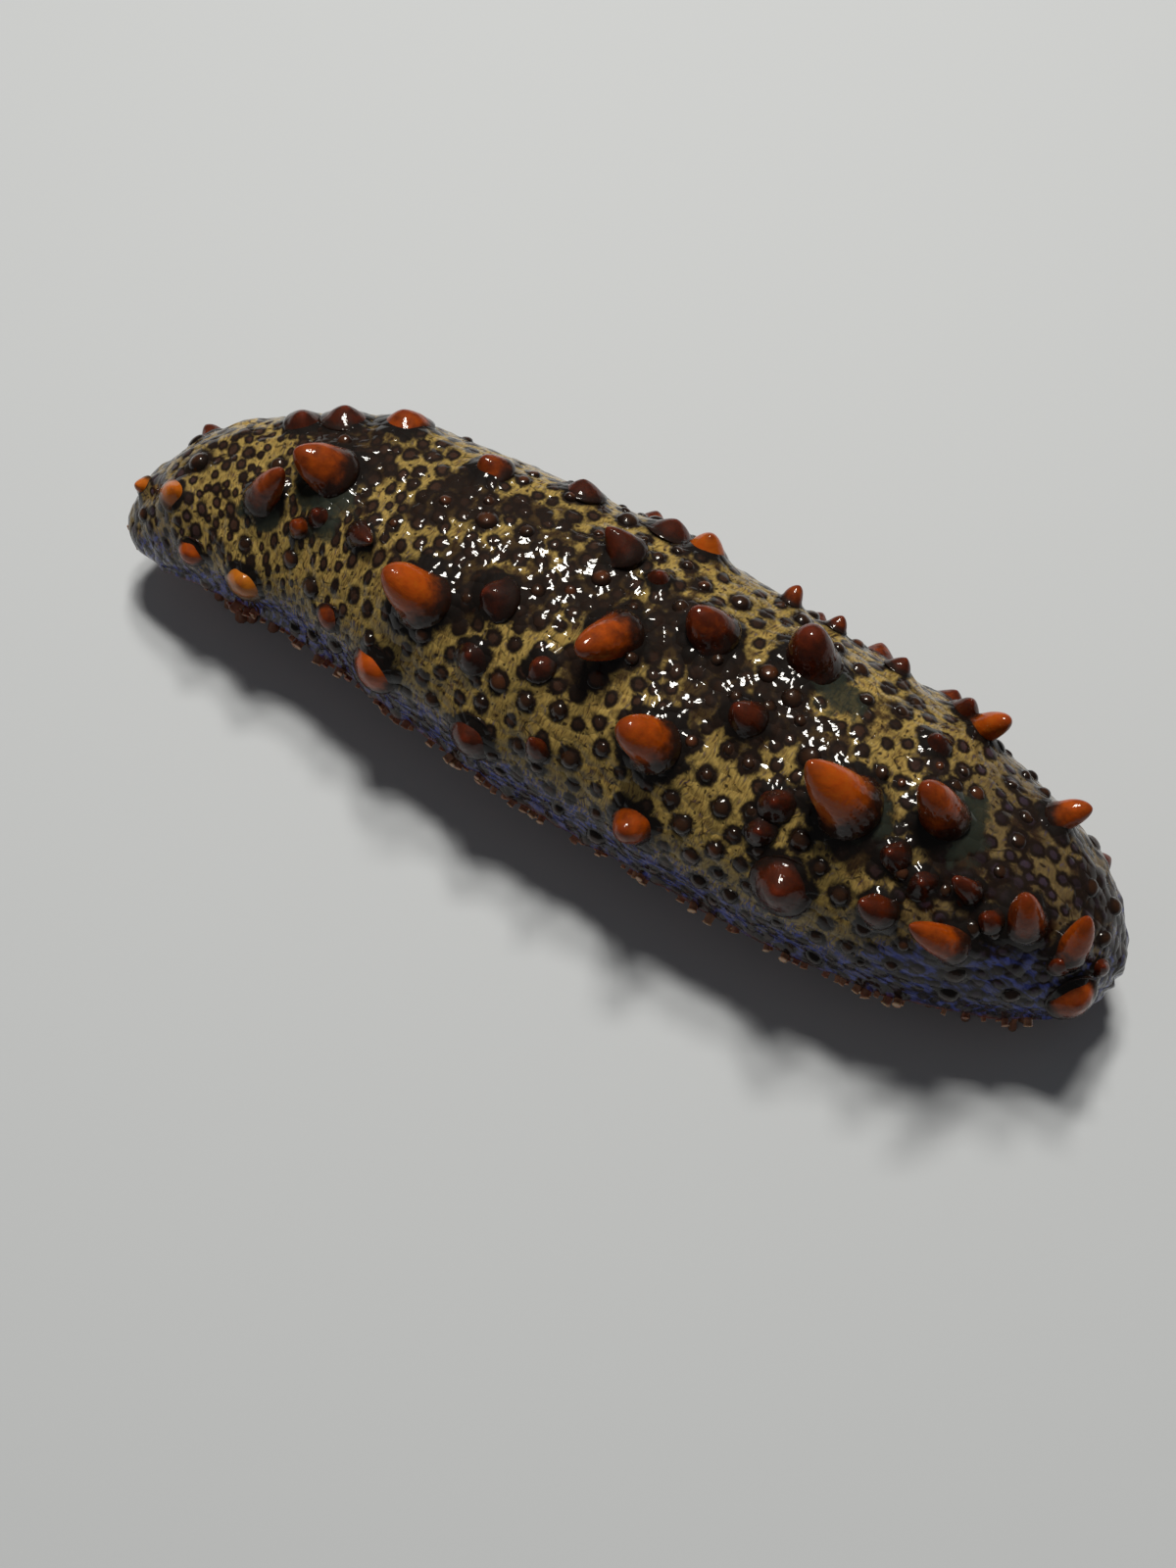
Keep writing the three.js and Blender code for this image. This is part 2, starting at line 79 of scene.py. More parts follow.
# Papillae from head to tail, and then four more past mid length: along, around, height, width, how far the
# tip leans towards the vent and towards the right for each millimetre of height, and tint, from 0 (dark
# red-brown) over 0.5 (orange) to 1 (amber)
PAPILLAE = [
    (10.5, 18, 2.5, 3.8, 0.3, -0.8, 0.75),
    (19.5, -12, 3.5, 6, 0.7, -0.1, 0.75),
    (21, -60, 2.2, 5.5, 0.3, 0.2, 0.42),
    (36, -73, 3.8, 8.5, 0.2, 0.5, 0.9),
    (39, -20, 8, 7, 0.9, 0.6, 0.33),
    (41.5, 30, 3, 7, 0.3, -0.3, 0.1),
    (49, 36, 3.5, 9, 0.1, 0, 0.12),
    (53, -2, 9, 10.5, -0.6, -0.15, 0.38),
    (50.5, -31, 3.5, 4, 0.1, 0.3, 0.32),
    (55, -23, 3.5, 4.5, 0.1, 0.2, 0.05),
    (60, 40, 4, 10, -0.1, -0.15, 0.36),
    (66.5, -66, 1.6, 5, 0.3, 0.3, 0.3),
    (67, -23, 3.8, 5, 1.3, -0.2, 0.1),
    (82, 28, 3.5, 7.5, -0.5, -0.5, 0.3),
    (83.5, -74, 3.6, 9, 0.1, 0.5, 0.45),
    (88, -32, 11, 11, -0.5, 0.15, 0.5),
    (100, 44, 3, 8, -0.2, 0, 0.12),
    (102, -18, 3.5, 8, -0.5, -0.2, 0.04),
    (104, -41, 3, 6, 0, 0.1, 0),
    (110, -74, 3.5, 8.5, 0, 0.4, 0.15),
    (118, 21, 4.5, 7.5, -1.1, -0.2, 0.16),
    (118, -31, 2, 5.5, -0.4, 0.2, 0.12),
    (121, 50, 3.5, 9, 0, 0, 0.12),
    (125.5, -61, 3.5, 4.5, -0.4, 1.2, 0.22),
    (128, 17, 3, 4.6, 0, -0.3, 0.1),
    (130, 49, 5, 8, 0, -0.5, 0.6),
    (128.5, -8, 9, 9, -0.3, -1.1, 0.4),
    (151, 52, 4, 4.5, 0, 0, 0.3),
    (162, 54, 3, 4, 0, 0, 0.25),
    (163.5, 21, 9.5, 10.5, -0.2, -0.25, 0.14),
    (174, -30, 3.8, 6, 0, 0.1, 0.06),
    (174, -42, 2.8, 5, 0, 0.1, 0.03),
    (178, 53, 3, 5, 0, 0, 0.15),
    (183, -58, 6, 10, 0, 0.2, 0.18),
    (186.5, -18, 14, 11.5, -0.75, 0.1, 0.52),
    (194, 21, 3, 5, -0.2, -0.2, 0.05),
    (194, 57, 4, 6, 0, -0.9, 0.15),
    (199, 51, 7, 6.5, 0.55, -0.7, 0.5),
    (199, -25, 3.8, 5.5, -0.4, 0, 0.05),
    (201.5, -48, 5, 6.5, -0.85, 0.4, 0.18),
    (203, -3, 12, 9, -0.6, -0.1, 0.36),
    (206, -29, 3, 5.5, -0.2, 0, 0.02),
    (213.5, -23, 4.5, 4.5, -1.1, 0.15, 0.18),
    (215, -48, 8, 7, -1.35, 0.4, 0.42),
    (220, 34, 7, 6.5, 0.4, 0, 0.45),
    (218, -30, 3, 4.5, -0.7, 0.1, 0.2),
    (222.5, -22, 8, 7.5, -0.75, 0.45, 0.36),
    (231, -23, 8, 6.5, -0.85, 0.85, 0.44),
    (230.5, -32, 2.5, 4.5, -0.7, 0.2, 0.2),
    (238, -21, 2.5, 3.5, -1, 0.1, 0.2),
    (237.5, -51, 3.5, 8.4, -0.5, 0.3, 0.4),
    (144, 8, 8, 9.5, -0.5, -0.2, 0.25),
    (147, -34, 10, 10, -0.6, 0.1, 0.45),
    (150, -68, 6, 8, 0, 0.4, 0.4),
    (160, -10, 5, 7, -0.5, 0, 0.15),
]

# The row along the right flank, drawn as its solids are. The tint grows with the height
FAR_ROW = {"seed": 11, "first": 22, "last": 236, "spacing": (15, 24), "around": (78, 94), "height": (3, 5.5),
           "width": (6, 9), "lean_vent": (0.3, -0.3), "lean_right": (0, -0.4), "tint": 0.06}
CUTS = (6, 29, 75, 136, 210.5, 245)  # the planes that part the solids, which their forms stay clear of
CUT_MARGIN = 0.7

# The larger warts, drawn as their solids are
WARTS = {"seed": 5, "count": 64, "along": (10, 240), "around": (-95, 95), "width": (3.8, 6)}
WART_SPACING = 1.6

# Smooth grey-green patches without spots beside some papillae, on the side away from the light: partly
# smooth skin and partly painted shadow cast by the papillae. Along, around, and half of each one's length and
# breadth
SMOOTH_SHADED_PATCHES = [
    (40, -30, 4, 3.5),
    (36, -24, 2.5, 3),
    (50, -13, 4, 4.5),
    (57, -14, 4.5, 4.5),
    (57, -28, 3, 3),
    (173, 15, 5, 5),
    (191.5, -16, 4, 5),
    (207, 5, 4, 4.5),
    (209, -6, 3, 5),
]

# Zones of the back where the dark spots run together, given as the patches are
DARK_ZONES = [
    (52, 15, 9, 6),
    (82, 11, 5.5, 6),
    (59, 6, 6, 5),
    (77, -1, 5, 4),
    (97, -22, 4, 6),
    (93, -12, 6, 5),
    (108, -10, 7, 6),
    (96, 17, 6, 4),
    (118, 2, 9, 8),
    (126, -22, 5, 5),
    (137, 2, 8, 9),
    (150, -6, 6, 8),
    (164, -1, 6, 10),
    (175, -2, 5, 4),
    (192, -28, 5, 4),
    (209, -12, 5, 6),
    (232, 12, 6, 6),
]


def linear(hex_colour):
    """An sRGB hex colour as linear red, green, blue and alpha."""
    channels = [int(hex_colour[i:i + 2], 16) / 255 for i in (1, 3, 5)]
    return tuple(c / 12.92 if c <= 0.04045 else ((c + 0.055) / 1.055) ** 2.4 for c in channels) + (1.0,)


def smooth(low, high, value):
    """0 up to low, 1 from high, and 3 t^2 - 2 t^3 between them."""
    t = np.clip((value - low) / (high - low), 0, 1)
    return t * t * (3 - 2 * t)


# The body's shape


def eased(turn, from_tip):
    """Radians of a turn, whole at the tip and easing to nothing: angle (3 s^2 - 2 s^3), s the share left."""
    angle, over = turn
    return np.radians(angle) * smooth(0, 1, 1 - from_tip / over)


def directions(along):
    """Unit vectors down the middle line, to the right and up. Near both ends it turns by yaw and pitch."""
    yaw = eased(HEAD_TURN, along) + eased(TAIL_TURN, LENGTH - along)
    pitch = eased(HEAD_BOW, along) - eased(TAIL_BOW, LENGTH - along)
    forward = np.stack([np.cos(yaw) * np.cos(pitch), np.sin(yaw) * np.cos(pitch), np.sin(pitch)], -1)
    right = np.stack([-np.sin(yaw), np.cos(yaw), np.zeros_like(yaw)], -1)
    return forward, right, np.cross(forward, right)


STEP = 0.5


def middle_line():
    """Points of the middle line, one each STEP: its direction's running sum, with mid length in its place."""
    halves = np.arange(STEP / 2, LENGTH, STEP)
    steps = directions(halves)[0] * STEP
    points = np.concatenate([np.zeros((1, 3)), np.cumsum(steps, 0)])
    return points - points[len(points) // 2] + MIDDLE_PLACE


MIDDLE_LINE = middle_line()


def centre(along):
    """Points of the middle line at any distances from the mouth."""
    places = np.linspace(0, LENGTH, len(MIDDLE_LINE))
    return np.stack([np.interp(along, places, MIDDLE_LINE[:, axis]) for axis in range(3)], -1)


def fullness(along):
    """Girth as a share of that at mid length: (1 - |2 a / LENGTH - 1|^power)^root, round at both ends."""
    from_middle = 2 * np.asarray(along, float) / LENGTH - 1
    distance = np.minimum(np.abs(from_middle), 1)
    head = (1 - distance ** HEAD_TAPER[0]) ** HEAD_TAPER[1]
    tail = (1 - distance ** TAIL_TAPER[0]) ** TAIL_TAPER[1]
    return np.where(from_middle < 0, head, tail)


def section(around):
    """Offsets to the right and up at mid length: an ellipse, its sine and cosine raised to 2 / roundness."""
    side = np.sin(np.radians(around))
    height = np.cos(np.radians(around))
    power = 2 / np.where(height > 0, BACK_ROUNDNESS, BELLY_ROUNDNESS)
    across = HALF_WIDTH * np.sign(side) * np.abs(side) ** power
    up = np.where(height > 0, BACK_RISE, BELLY_DROP) * np.sign(height) * np.abs(height) ** power
    return across, up


def belly_ratio(along):
    """How much deeper the belly hangs than its girth alone gives, so that it lies level but is round near
    both tips: 1 + share (level drop / round drop - 1)."""
    _, _, up = directions(along)
    round_drop = BELLY_DROP * np.maximum(fullness(along), LEAST_GIRTH)
    level_drop = (centre(along)[..., 2] - BELLY_LEVEL) / up[..., 2]
    share = smooth(*HEAD_RISE, along) * smooth(*TAIL_RISE, LENGTH - along)
    return 1 + share * (level_drop / round_drop - 1)


def body_point(along, around, girth=None):
    """Points of the body: the section, scaled by the girth, set square on the middle line."""
    along, around = np.broadcast_arrays(np.asarray(along, float), np.asarray(around, float))
    girth = fullness(along) if girth is None else girth
    _, right, up = directions(along)
    across, rise = section(around)
    rise = np.where(rise < 0, rise * belly_ratio(along), rise)
    return centre(along) + right * (girth * across)[..., None] + up * (girth * rise)[..., None]


def unit(vectors):
    """Each vector over its own length."""
    return vectors / np.linalg.norm(vectors, axis=-1, keepdims=True)


def body_frame(along, around):
    """The skin's own directions at places: out, towards the vent and towards the right, from differences."""
    towards_vent = unit(body_point(along + 1, around) - body_point(along - 1, around))
    across = body_point(along, around + 1) - body_point(along, around - 1)
    out = unit(np.cross(towards_vent, across))
    return out, towards_vent, np.cross(out, towards_vent)


def running_length(x, y):
    """How long a curve is up to each of its points: the running sum of hypot(dx, dy)."""
    return np.concatenate([[0], np.cumsum(np.hypot(np.diff(x), np.diff(y)))])


# Lengths of skin: from the middle of the back round to each angle, at mid length, and from the mouth's tip
# down the body's side to each place
ARC_ANGLES = np.linspace(0, 180, 1801)
ARCS = running_length(*section(ARC_ANGLES))
PROFILE_ALONG = LENGTH * (1 - np.cos(np.linspace(0, np.pi, 4001))) / 2
PROFILE = running_length(PROFILE_ALONG, HALF_WIDTH * fullness(PROFILE_ALONG))


def arc_of(around):
    """Skin from the middle of the back round to an angle, at mid length, signed as the angle is."""
    return np.sign(around) * np.interp(np.abs(around), ARC_ANGLES, ARCS)


def angle_of(arc):
    """The angle that a length of skin from the middle of the back comes round to."""
    return np.sign(arc) * np.interp(np.abs(arc), ARCS, ARC_ANGLES)


def skin_length(along):
    """Skin from the mouth's tip down the body's side to a place."""
    return np.interp(along, PROFILE_ALONG, PROFILE)


# Draws and noise


def draws_from(seed):
    """Repeatable draws between 0 and 1, the same as the solids' own: state = 48271 state mod (2^31 - 1)."""
    state = seed
    while True:
        state = state * 48271 % 2147483647
        yield state / 2147483647


def between(draw, limits):
    """The next draw, spread between two limits."""
    return limits[0] + (limits[1] - limits[0]) * next(draw)


def skin_noise(along, around, cell, columns, seed):
    """Soft noise from -1 to 1: random numbers on a lattice of the skin, cell long and 1/columns round,
    blended by 3 t^2 - 2 t^3 both ways. It closes on itself round the body."""
    lattice = np.random.default_rng(seed).uniform(-1, 1, (int(LENGTH / cell) + 4, columns))
    x = np.clip(np.asarray(along, float) / cell + 1, 0, lattice.shape[0] - 2)
    y = np.asarray(around, float) / 360 * columns % columns
    column, row = np.floor(y).astype(int) % columns, np.floor(x).astype(int)
    right = (column + 1) % columns
    tx, ty = smooth(0, 1, x - row), smooth(0, 1, y - np.floor(y))
    near = lattice[row, column] * (1 - ty) + lattice[row, right] * ty
    far = lattice[row + 1, column] * (1 - ty) + lattice[row + 1, right] * ty
    return near * (1 - tx) + far * tx


# Where papillae, warts and spots stand


def clear_of_cuts(along, width):
    """True for a form that keeps CUT_MARGIN from every cut."""
    return all(abs(along - cut) > width / 2 + CUT_MARGIN for cut in CUTS)


def far_row():
    """Papillae along the right flank: one each 15 to 24 mm, smaller towards the ends."""
    draw = draws_from(FAR_ROW["seed"])
    along = FAR_ROW["first"]
    places = []
    while along < FAR_ROW["last"]:
        around = between(draw, FAR_ROW["around"])
        size = (1 + float(fullness(along))) / 2
        height = size * between(draw, FAR_ROW["height"])
        width = size * between(draw, FAR_ROW["width"])
        lean_vent = between(draw, FAR_ROW["lean_vent"])
        lean_right = between(draw, FAR_ROW["lean_right"])
        if clear_of_cuts(along, width):
            places.append((along, around, height, width, lean_vent, lean_right, FAR_ROW["tint"] * height))
        along += between(draw, FAR_ROW["spacing"])
    return places


ALL_PAPILLAE = np.array(PAPILLAE + far_row(), float)
PAPILLA_POINTS = body_point(ALL_PAPILLAE[:, 0], ALL_PAPILLAE[:, 1])


def large_warts():
    """Along, around and width of the larger warts, thrown at random and kept apart."""
    draw = draws_from(WARTS["seed"])
    points = [*PAPILLA_POINTS]
    widths = [*ALL_PAPILLAE[:, 3]]
    kept = []
    while len(kept) < WARTS["count"]:
        along = between(draw, WARTS["along"])
        around = between(draw, WARTS["around"])
        width = between(draw, WARTS["width"])
        point = body_point(along, around)
        apart = np.linalg.norm(np.array(points) - point, axis=1) - np.array(widths) / 2
        if apart.min() > width / 2 + WART_SPACING and clear_of_cuts(along, width):
            kept.append((along, around, width))
            points.append(point)
            widths.append(width)
    return np.array(kept)


LARGE_WARTS = large_warts()

FAR_OFF = 9.0  # stands for any distance that is too great to matter


def patch_distance(along, around, patches):
    """Distance to the nearest patch, where 1 is its edge: the least of hypot(da / length, dv / breadth)."""
    nearest = np.full(np.broadcast(along, around).shape, FAR_OFF)
    arc = arc_of(around)
    for middle, turn, length, breadth in patches:
        across = (arc - arc_of(turn)) * fullness(along)
        nearest = np.minimum(nearest, np.hypot((along - middle) / length, across / breadth))
    return nearest


# Spots are thrown between the ends and over both sides. A radius is the least one and what chance adds, up to
# growth, where the power keeps most of them small. What the parts of the body add or take away follows
SPOTS = {"throws": 30000, "seed": 21, "ends": (3.0, 247.5), "side": 112.0, "least": 1.25, "growth": 1.1,
         "power": 1.7, "on_trunk": 0.3, "clear_of_papillae": 0.6}
SMALLER = {"head": 0.4, "tail": 0.25, "flank": 0.25}
WIDER_GAP = {"trunk": 1.6, "head": 0.4}
STRETCH = {"least": 1.02, "chance": 0.2, "head": 0.42, "flank": 0.25, "wart": 1.1}  # round the body

# Stretches along the body and bands round it, each by where it starts and where it is whole
HEAD, TAIL, OFF_MIDDLE, FLANK = (88, 50), (200, 235), (20, 40), (66, 95)


@cache
def scatter_spots(spacing):
    """Spots thrown over the back and flanks, as rows of along, around, radius along the body and radius round
    it: a throw is kept where it is clear of papillae, of the smooth patches that are partly painted shadow,
    and of the spots kept before."""
    throws, side = SPOTS["throws"], arc_of(SPOTS["side"])
    rng = np.random.default_rng(SPOTS["seed"])
    alongs = np.interp(rng.uniform(*skin_length(np.array(SPOTS["ends"])), throws), PROFILE, PROFILE_ALONG)
    arounds = angle_of(rng.uniform(-side, side, throws))
    big = rng.uniform(0, 1, throws) ** SPOTS["power"]
    head = smooth(*HEAD, alongs)
    tail = smooth(*TAIL, alongs)
    trunk = smooth(*OFF_MIDDLE, np.abs(arounds)) * (1 - head) * (1 - tail)
    flank = smooth(*FLANK, np.abs(arounds))
    radii = (SPOTS["least"] + SPOTS["growth"] * big + SPOTS["on_trunk"] * trunk) * (
        1 - SMALLER["head"] * head - SMALLER["tail"] * tail) * (1 - SMALLER["flank"] * flank)
    gaps_between = spacing * (1 + WIDER_GAP["trunk"] * trunk * (1 - flank) + WIDER_GAP["head"] * head)
    stretch = STRETCH["least"] + STRETCH["chance"] * rng.uniform(0, 1, throws)
    stretch = stretch + STRETCH["head"] * head + STRETCH["flank"] * flank
    points = body_point(alongs, arounds)
    clear = rng.uniform(0, 1, throws) < fullness(alongs)
    clear &= patch_distance(alongs, arounds, SMOOTH_SHADED_PATCHES) > 1.0
    gaps = np.linalg.norm(points[:, None] - PAPILLA_POINTS, axis=2) - ALL_PAPILLAE[:, 3] / 2
    clear &= gaps.min(1) > SPOTS["clear_of_papillae"]
    count = len(LARGE_WARTS)
    kept = np.zeros((throws, 4))
    kept[:count, :2] = LARGE_WARTS[:, :2]
    kept[:count, 2] = LARGE_WARTS[:, 2] / 2
    kept[:count, 3] = LARGE_WARTS[:, 2] / 2 * STRETCH["wart"]
    kept_points = np.zeros((throws, 3))
    kept_points[:count] = body_point(LARGE_WARTS[:, 0], LARGE_WARTS[:, 1])
    for i in np.flatnonzero(clear):
        apart = np.linalg.norm(kept_points[:count] - points[i], axis=1) - kept[:count, 2]
        if apart.min() > radii[i] + gaps_between[i]:
            kept[count] = alongs[i], arounds[i], radii[i], radii[i] * stretch[i]
            kept_points[count] = points[i]
            count += 1
    return kept[:count]


# Relief of the skin, in millimetres. Each noise is given by its cell, its columns and its seed

SKIN_DEPTH = 0.5  # how far the skin between the spots lies inside the plain body
RELIEF_FROM, RELIEF_TO = (3, 8), (249.4, 244)
BACK = (150, 112)
LUMPS = [(0.5, (15.0, 12, 3)), (0.28, (6.0, 30, 4))]
BELLY_LUMPS = 0.25  # the share of them that the belly has too
WRINKLES, WRINKLE_HEIGHT, END_WRINKLES = (2.6, 7, 6), 0.09, 0.4
WRINKLED_HEAD, WRINKLED_TAIL = (62, 6), (205, 246)
SEAM = {"around": 100, "height": 1.1, "width": 4.5, "stray": 3, "path": (11.0, 8, 7), "least": 0.75,
        "growth": 0.5, "lumps": (4.0, 8, 8)}
MOUND = {"share": 0.36, "limit": 3.0, "reach": 0.72}  # shares of a papilla's height and of its width
DOME = {"share": 0.3, "reach": 0.08}  # what a low one adds to the share and takes from the reach
STEEP, FLAT = 1.0, 0.55  # height over width of a papilla that stands up, and of one that is a low dome
FOLDS = {"count": 11, "height": 0.5, "from": (238, 247.5), "to": (250.0, 249.3), "sway": 0.8, "sways": 3}


def lowness(height, width):
    """0 for a papilla that stands up as a cone, 1 for one that is a low dome."""
    return smooth(STEEP, FLAT, height / width)


def mounds(along, around):
    """How far the skin swells at papillae: each rises as height exp(-(d / reach)^2) round its middle."""
    points = body_point(along, around)
    total = np.zeros(points.shape[:-1])
    for point, (_, _, height, width, _, _, _) in zip(PAPILLA_POINTS, ALL_PAPILLAE):
        low = lowness(height, width)
        swell = min((MOUND["share"] + DOME["share"] * low) * height, MOUND["limit"])
        reach = (MOUND["reach"] - DOME["reach"] * low) * width
        gap = np.linalg.norm(points - point, axis=-1)
        total = np.maximum(total, swell * np.exp(-(gap / reach) ** 2))
    return total


def relief(along, around):
    """How far the skin stands out of the plain body: soft lumps, wrinkles round the body that deepen towards
    both ends, the seam of the flanks and the swellings at papillae."""
    ends = smooth(*WRINKLED_HEAD, along) + smooth(*WRINKLED_TAIL, along)
    back = smooth(*BACK, np.abs(around))
    lumps = sum(height * skin_noise(along, around, *noise) for height, noise in LUMPS)
    wrinkles = (WRINKLE_HEIGHT + END_WRINKLES * ends) * skin_noise(along, around, *WRINKLES)
    seam_at = SEAM["around"] + SEAM["stray"] * skin_noise(along, np.sign(around) * 90, *SEAM["path"])
    seam = SEAM["height"] * np.exp(-((np.abs(around) - seam_at) / SEAM["width"]) ** 2)
    seam *= SEAM["least"] + SEAM["growth"] * skin_noise(along, around, *SEAM["lumps"])
    fade = smooth(*RELIEF_FROM, along) * smooth(*RELIEF_TO, along)
    skin = back * (lumps + wrinkles) + seam + BELLY_LUMPS * lumps - SKIN_DEPTH
    return fade * skin + mounds(along, around)


def vent_folds(along, around):
    """Folds of skin drawn up round the vent: a cosine round the body, fading away from the tip."""
    window = smooth(*FOLDS["from"], along) * smooth(*FOLDS["to"], along)
    wave = np.radians(FOLDS["count"] * around) + FOLDS["sway"] * np.sin(np.radians(FOLDS["sways"] * around))
    return FOLDS["height"] * window * np.cos(wave)


def skin_point(along, around):
    """Points of the finished skin, without its spots."""
    out, _, _ = body_frame(along, around)
    return body_point(along, around) + out * relief(along, around)[..., None]


# Meshes


def closed_rings(rings):
    """Vertices and faces of closed forms: rings is pieces x rows x sides x 3, and the first and last row are
    poles. The sides turn by the right hand rule about the way from the first pole to the last."""
    pieces, rows, sides, _ = rings.shape
    inner = rings[:, 1:-1].reshape(pieces, -1, 3)
    poles = rings[:, (0, -1), 0]
    vertices = np.concatenate([inner, poles], 1)
    count = vertices.shape[1]
    row = np.arange(rows - 3)[:, None] * sides
    side = np.arange(sides)
    after = (side + 1) % sides
    quads = np.stack([row + side, row + after, row + sides + after, row + sides + side], -1).reshape(-1, 4)
    last = (rows - 3) * sides
    low = np.stack([np.full(sides, count - 2), after, side], -1)
    high = np.stack([np.full(sides, count - 1), last + side, last + after], -1)
    shift = (np.arange(pieces) * count)[:, None, None]
    fans = np.concatenate([low, high])
    return vertices.reshape(-1, 3), (quads + shift).reshape(-1, 4), (fans + shift).reshape(-1, 3)


def ring_values(values):
    """Values given for each piece, row and side, in the order of the vertices that closed_rings makes."""
    pieces = values.shape[0]
    inner = values[:, 1:-1].reshape(pieces, -1)
    poles = values[:, (0, -1), 0]
    return np.concatenate([inner, poles], 1).reshape(-1)


def add_piece(name, rings, attributes, material):
    """A smooth-shaded object from closed rings in millimetres, with a point attribute for each named array,
    which is spread over pieces, rows and sides."""
    vertices, quads, triangles = closed_rings(rings)
    mesh = bpy.data.meshes.new(name)
    mesh.vertices.add(len(vertices))
    mesh.vertices.foreach_set("co", (vertices * MM).astype(np.float32).ravel())
    corners = np.concatenate([quads.ravel(), triangles.ravel()])
    totals = np.concatenate([np.full(len(quads), 4), np.full(len(triangles), 3)])
    mesh.loops.add(len(corners))
    mesh.loops.foreach_set("vertex_index", corners.astype(np.int32))
    mesh.polygons.add(len(totals))
    mesh.polygons.foreach_set("loop_start", (np.cumsum(totals) - totals).astype(np.int32))
    mesh.polygons.foreach_set("use_smooth", np.ones(len(totals), bool))
    for key, values in attributes.items():
        values = ring_values(np.broadcast_to(values, rings.shape[:3]))
        mesh.attributes.new(key, "FLOAT", "POINT").data.foreach_set("value", values.astype(np.float32))
    mesh.update(calc_edges=True)
    if mesh.validate():
        raise RuntimeError(f"{name}: its faces aren't sound")
    mesh.materials.append(material)
    obj = bpy.data.objects.new(name, mesh)
    bpy.context.scene.collection.objects.link(obj)
    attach(obj, BODY)
    return obj


# Materials and settings


def add_node(tree, kind, settings=(), inputs=(), stops=()):
    """Adds a node with its settings. An input that is a socket is linked, and another is set on the node."""
    node = tree.nodes.new("ShaderNode" + kind)
    for key, value in dict(settings).items():
        setattr(node, key, value)
    for key, value in dict(inputs).items():
        if isinstance(value, bpy.types.NodeSocket):
            tree.links.new(value, node.inputs[key])
        else:
            node.inputs[key].default_value = value
    if stops:
        elements = node.color_ramp.elements
        while len(elements) < len(stops):
            elements.new(1.0)
        for element, (position, colour) in zip(elements, stops):
            element.position = position
            element.color = colour
    return node


SMOOTHSTEP = {"interpolation_type": "SMOOTHSTEP"}
COLOUR = {"data_type": "RGBA"}
MIX_A, MIX_B, MIX_RESULT = 6, 7, 2  # the colour sockets of a Mix node


def new_material(name, *carried):
    """An empty material. Returns it, its node tree, the socket of the piece's own coordinates, and by name
    the sockets of the attributes that its mesh carries."""
    material = bpy.data.materials.new(name)
    material.use_nodes = True
    tree = material.node_tree
    tree.nodes.clear()
    place = add_node(tree, "TexCoord").outputs["Object"]
    read = {key: add_node(tree, "Attribute", {"attribute_name": key}).outputs["Fac"] for key in carried}
    return material, tree, place, read


def unevenness(tree, place, scale, detail, strength, depth, **inputs):
    """Fine noise to a depth in millimetres. Returns the noise and the normal that it gives."""
    noise = add_node(tree, "TexNoise", {}, {"Vector": place, "Scale": scale, "Detail": detail}).outputs["Fac"]
    bump = add_node(tree, "Bump", {}, {
        "Strength": strength, "Distance": depth * MM, "Height": noise, **inputs})
    return noise, bump.outputs[0]


def wet_shader(tree, colour, normal, roughness=0.65, subsurface=0.0, radius=(1.0, 0.4, 0.15), scale=1.5,
               film=1.0):
    """A soft body under a film of sea water: the coat is the water, which gives the sharp glints. Light goes
    scale millimetres deep."""
    shader = add_node(tree, "BsdfPrincipled", {}, {
        "Base Color": colour,
        "Roughness": roughness,
        "IOR": 1.38,
        "Specular IOR Level": 0.1,
        "Subsurface Weight": subsurface,
        "Subsurface Radius": radius,
        "Subsurface Scale": scale * MM,
        "Coat Weight": film,
        "Coat Roughness": 0.04,
        "Coat IOR": 1.36,
        "Normal": normal,
        "Coat Normal": normal,
    })
    add_node(tree, "OutputMaterial", {}, {"Surface": shader.outputs["BSDF"]})


def colour_property(name, description, hex_colour):
    """A colour that a user can change."""
    return bpy.props.FloatVectorProperty(
        name=name, description=description, subtype="COLOR", size=4, default=linear(hex_colour), min=0, max=1)


# The skin


class SkinSettings(bpy.types.PropertyGroup):
    ground: colour_property("Ground", "Khaki ground between the spots", "#9a8044")
    dull_ground: colour_property("Dull ground", "Grey-brown ground of the head's tip and the tail", "#4a3d2c")
    pale: colour_property("Pale rings", "Paler ground close round each spot", "#a89252")
    streak: colour_property("Streaks", "Olive streaks in the ground, which run round the body", "#4a351c")
    spot: colour_property("Spots", "Dark rim of each spot", "#180e08")
    spot_middle: colour_property("Middle of spots", "Warmer middle of each spot", "#3b261b")
    dull_middle: colour_property("Dull middles", "Violet-grey middle of the spots on dull ground", "#332a3a")
    # Near black ring round the papillae: partly the skin's own colour and partly painted shade at their feet
    shaded_halo: colour_property("Halo", "Near black skin round the papillae", "#0f0906")
    # Smooth grey-green patches: partly smooth skin and partly painted shadow of the papillae beside them
    shaded_patch: colour_property("Smooth patches", "Grey-green patches beside some papillae", "#232720")
    sole: colour_property("Sole", "Red-brown of the underside", "#7a4034")
    sole_dark: colour_property("Clouds of the sole", "Darker red-brown clouds of the underside", "#54261f")
    zone: colour_property("Dark zones", "Chocolate brown where the spots run together", "#221109")
    # The margins' violet streaks and the dark between them: partly the skin's own purplish colour and partly
    # a painted blue reflection
    margin: colour_property("Margins", "Blue-violet streaks of the lower margins and the tail", "#3f4c9a")
    margin_dark: colour_property("Dark of the margins", "Violet black between the streaks", "#13152a")
    spot_gap: bpy.props.FloatProperty(
        name="Gap between spots", description="Least ground between two spots", unit="LENGTH",
        default=0.4 * MM, min=0.0)
    rows: bpy.props.IntProperty(
        name="Rows", description="Rings of the skin's mesh from mouth to vent", default=400, min=60)
    columns: bpy.props.IntProperty(
        name="Columns", description="Sides of the skin's mesh", default=234, min=24)


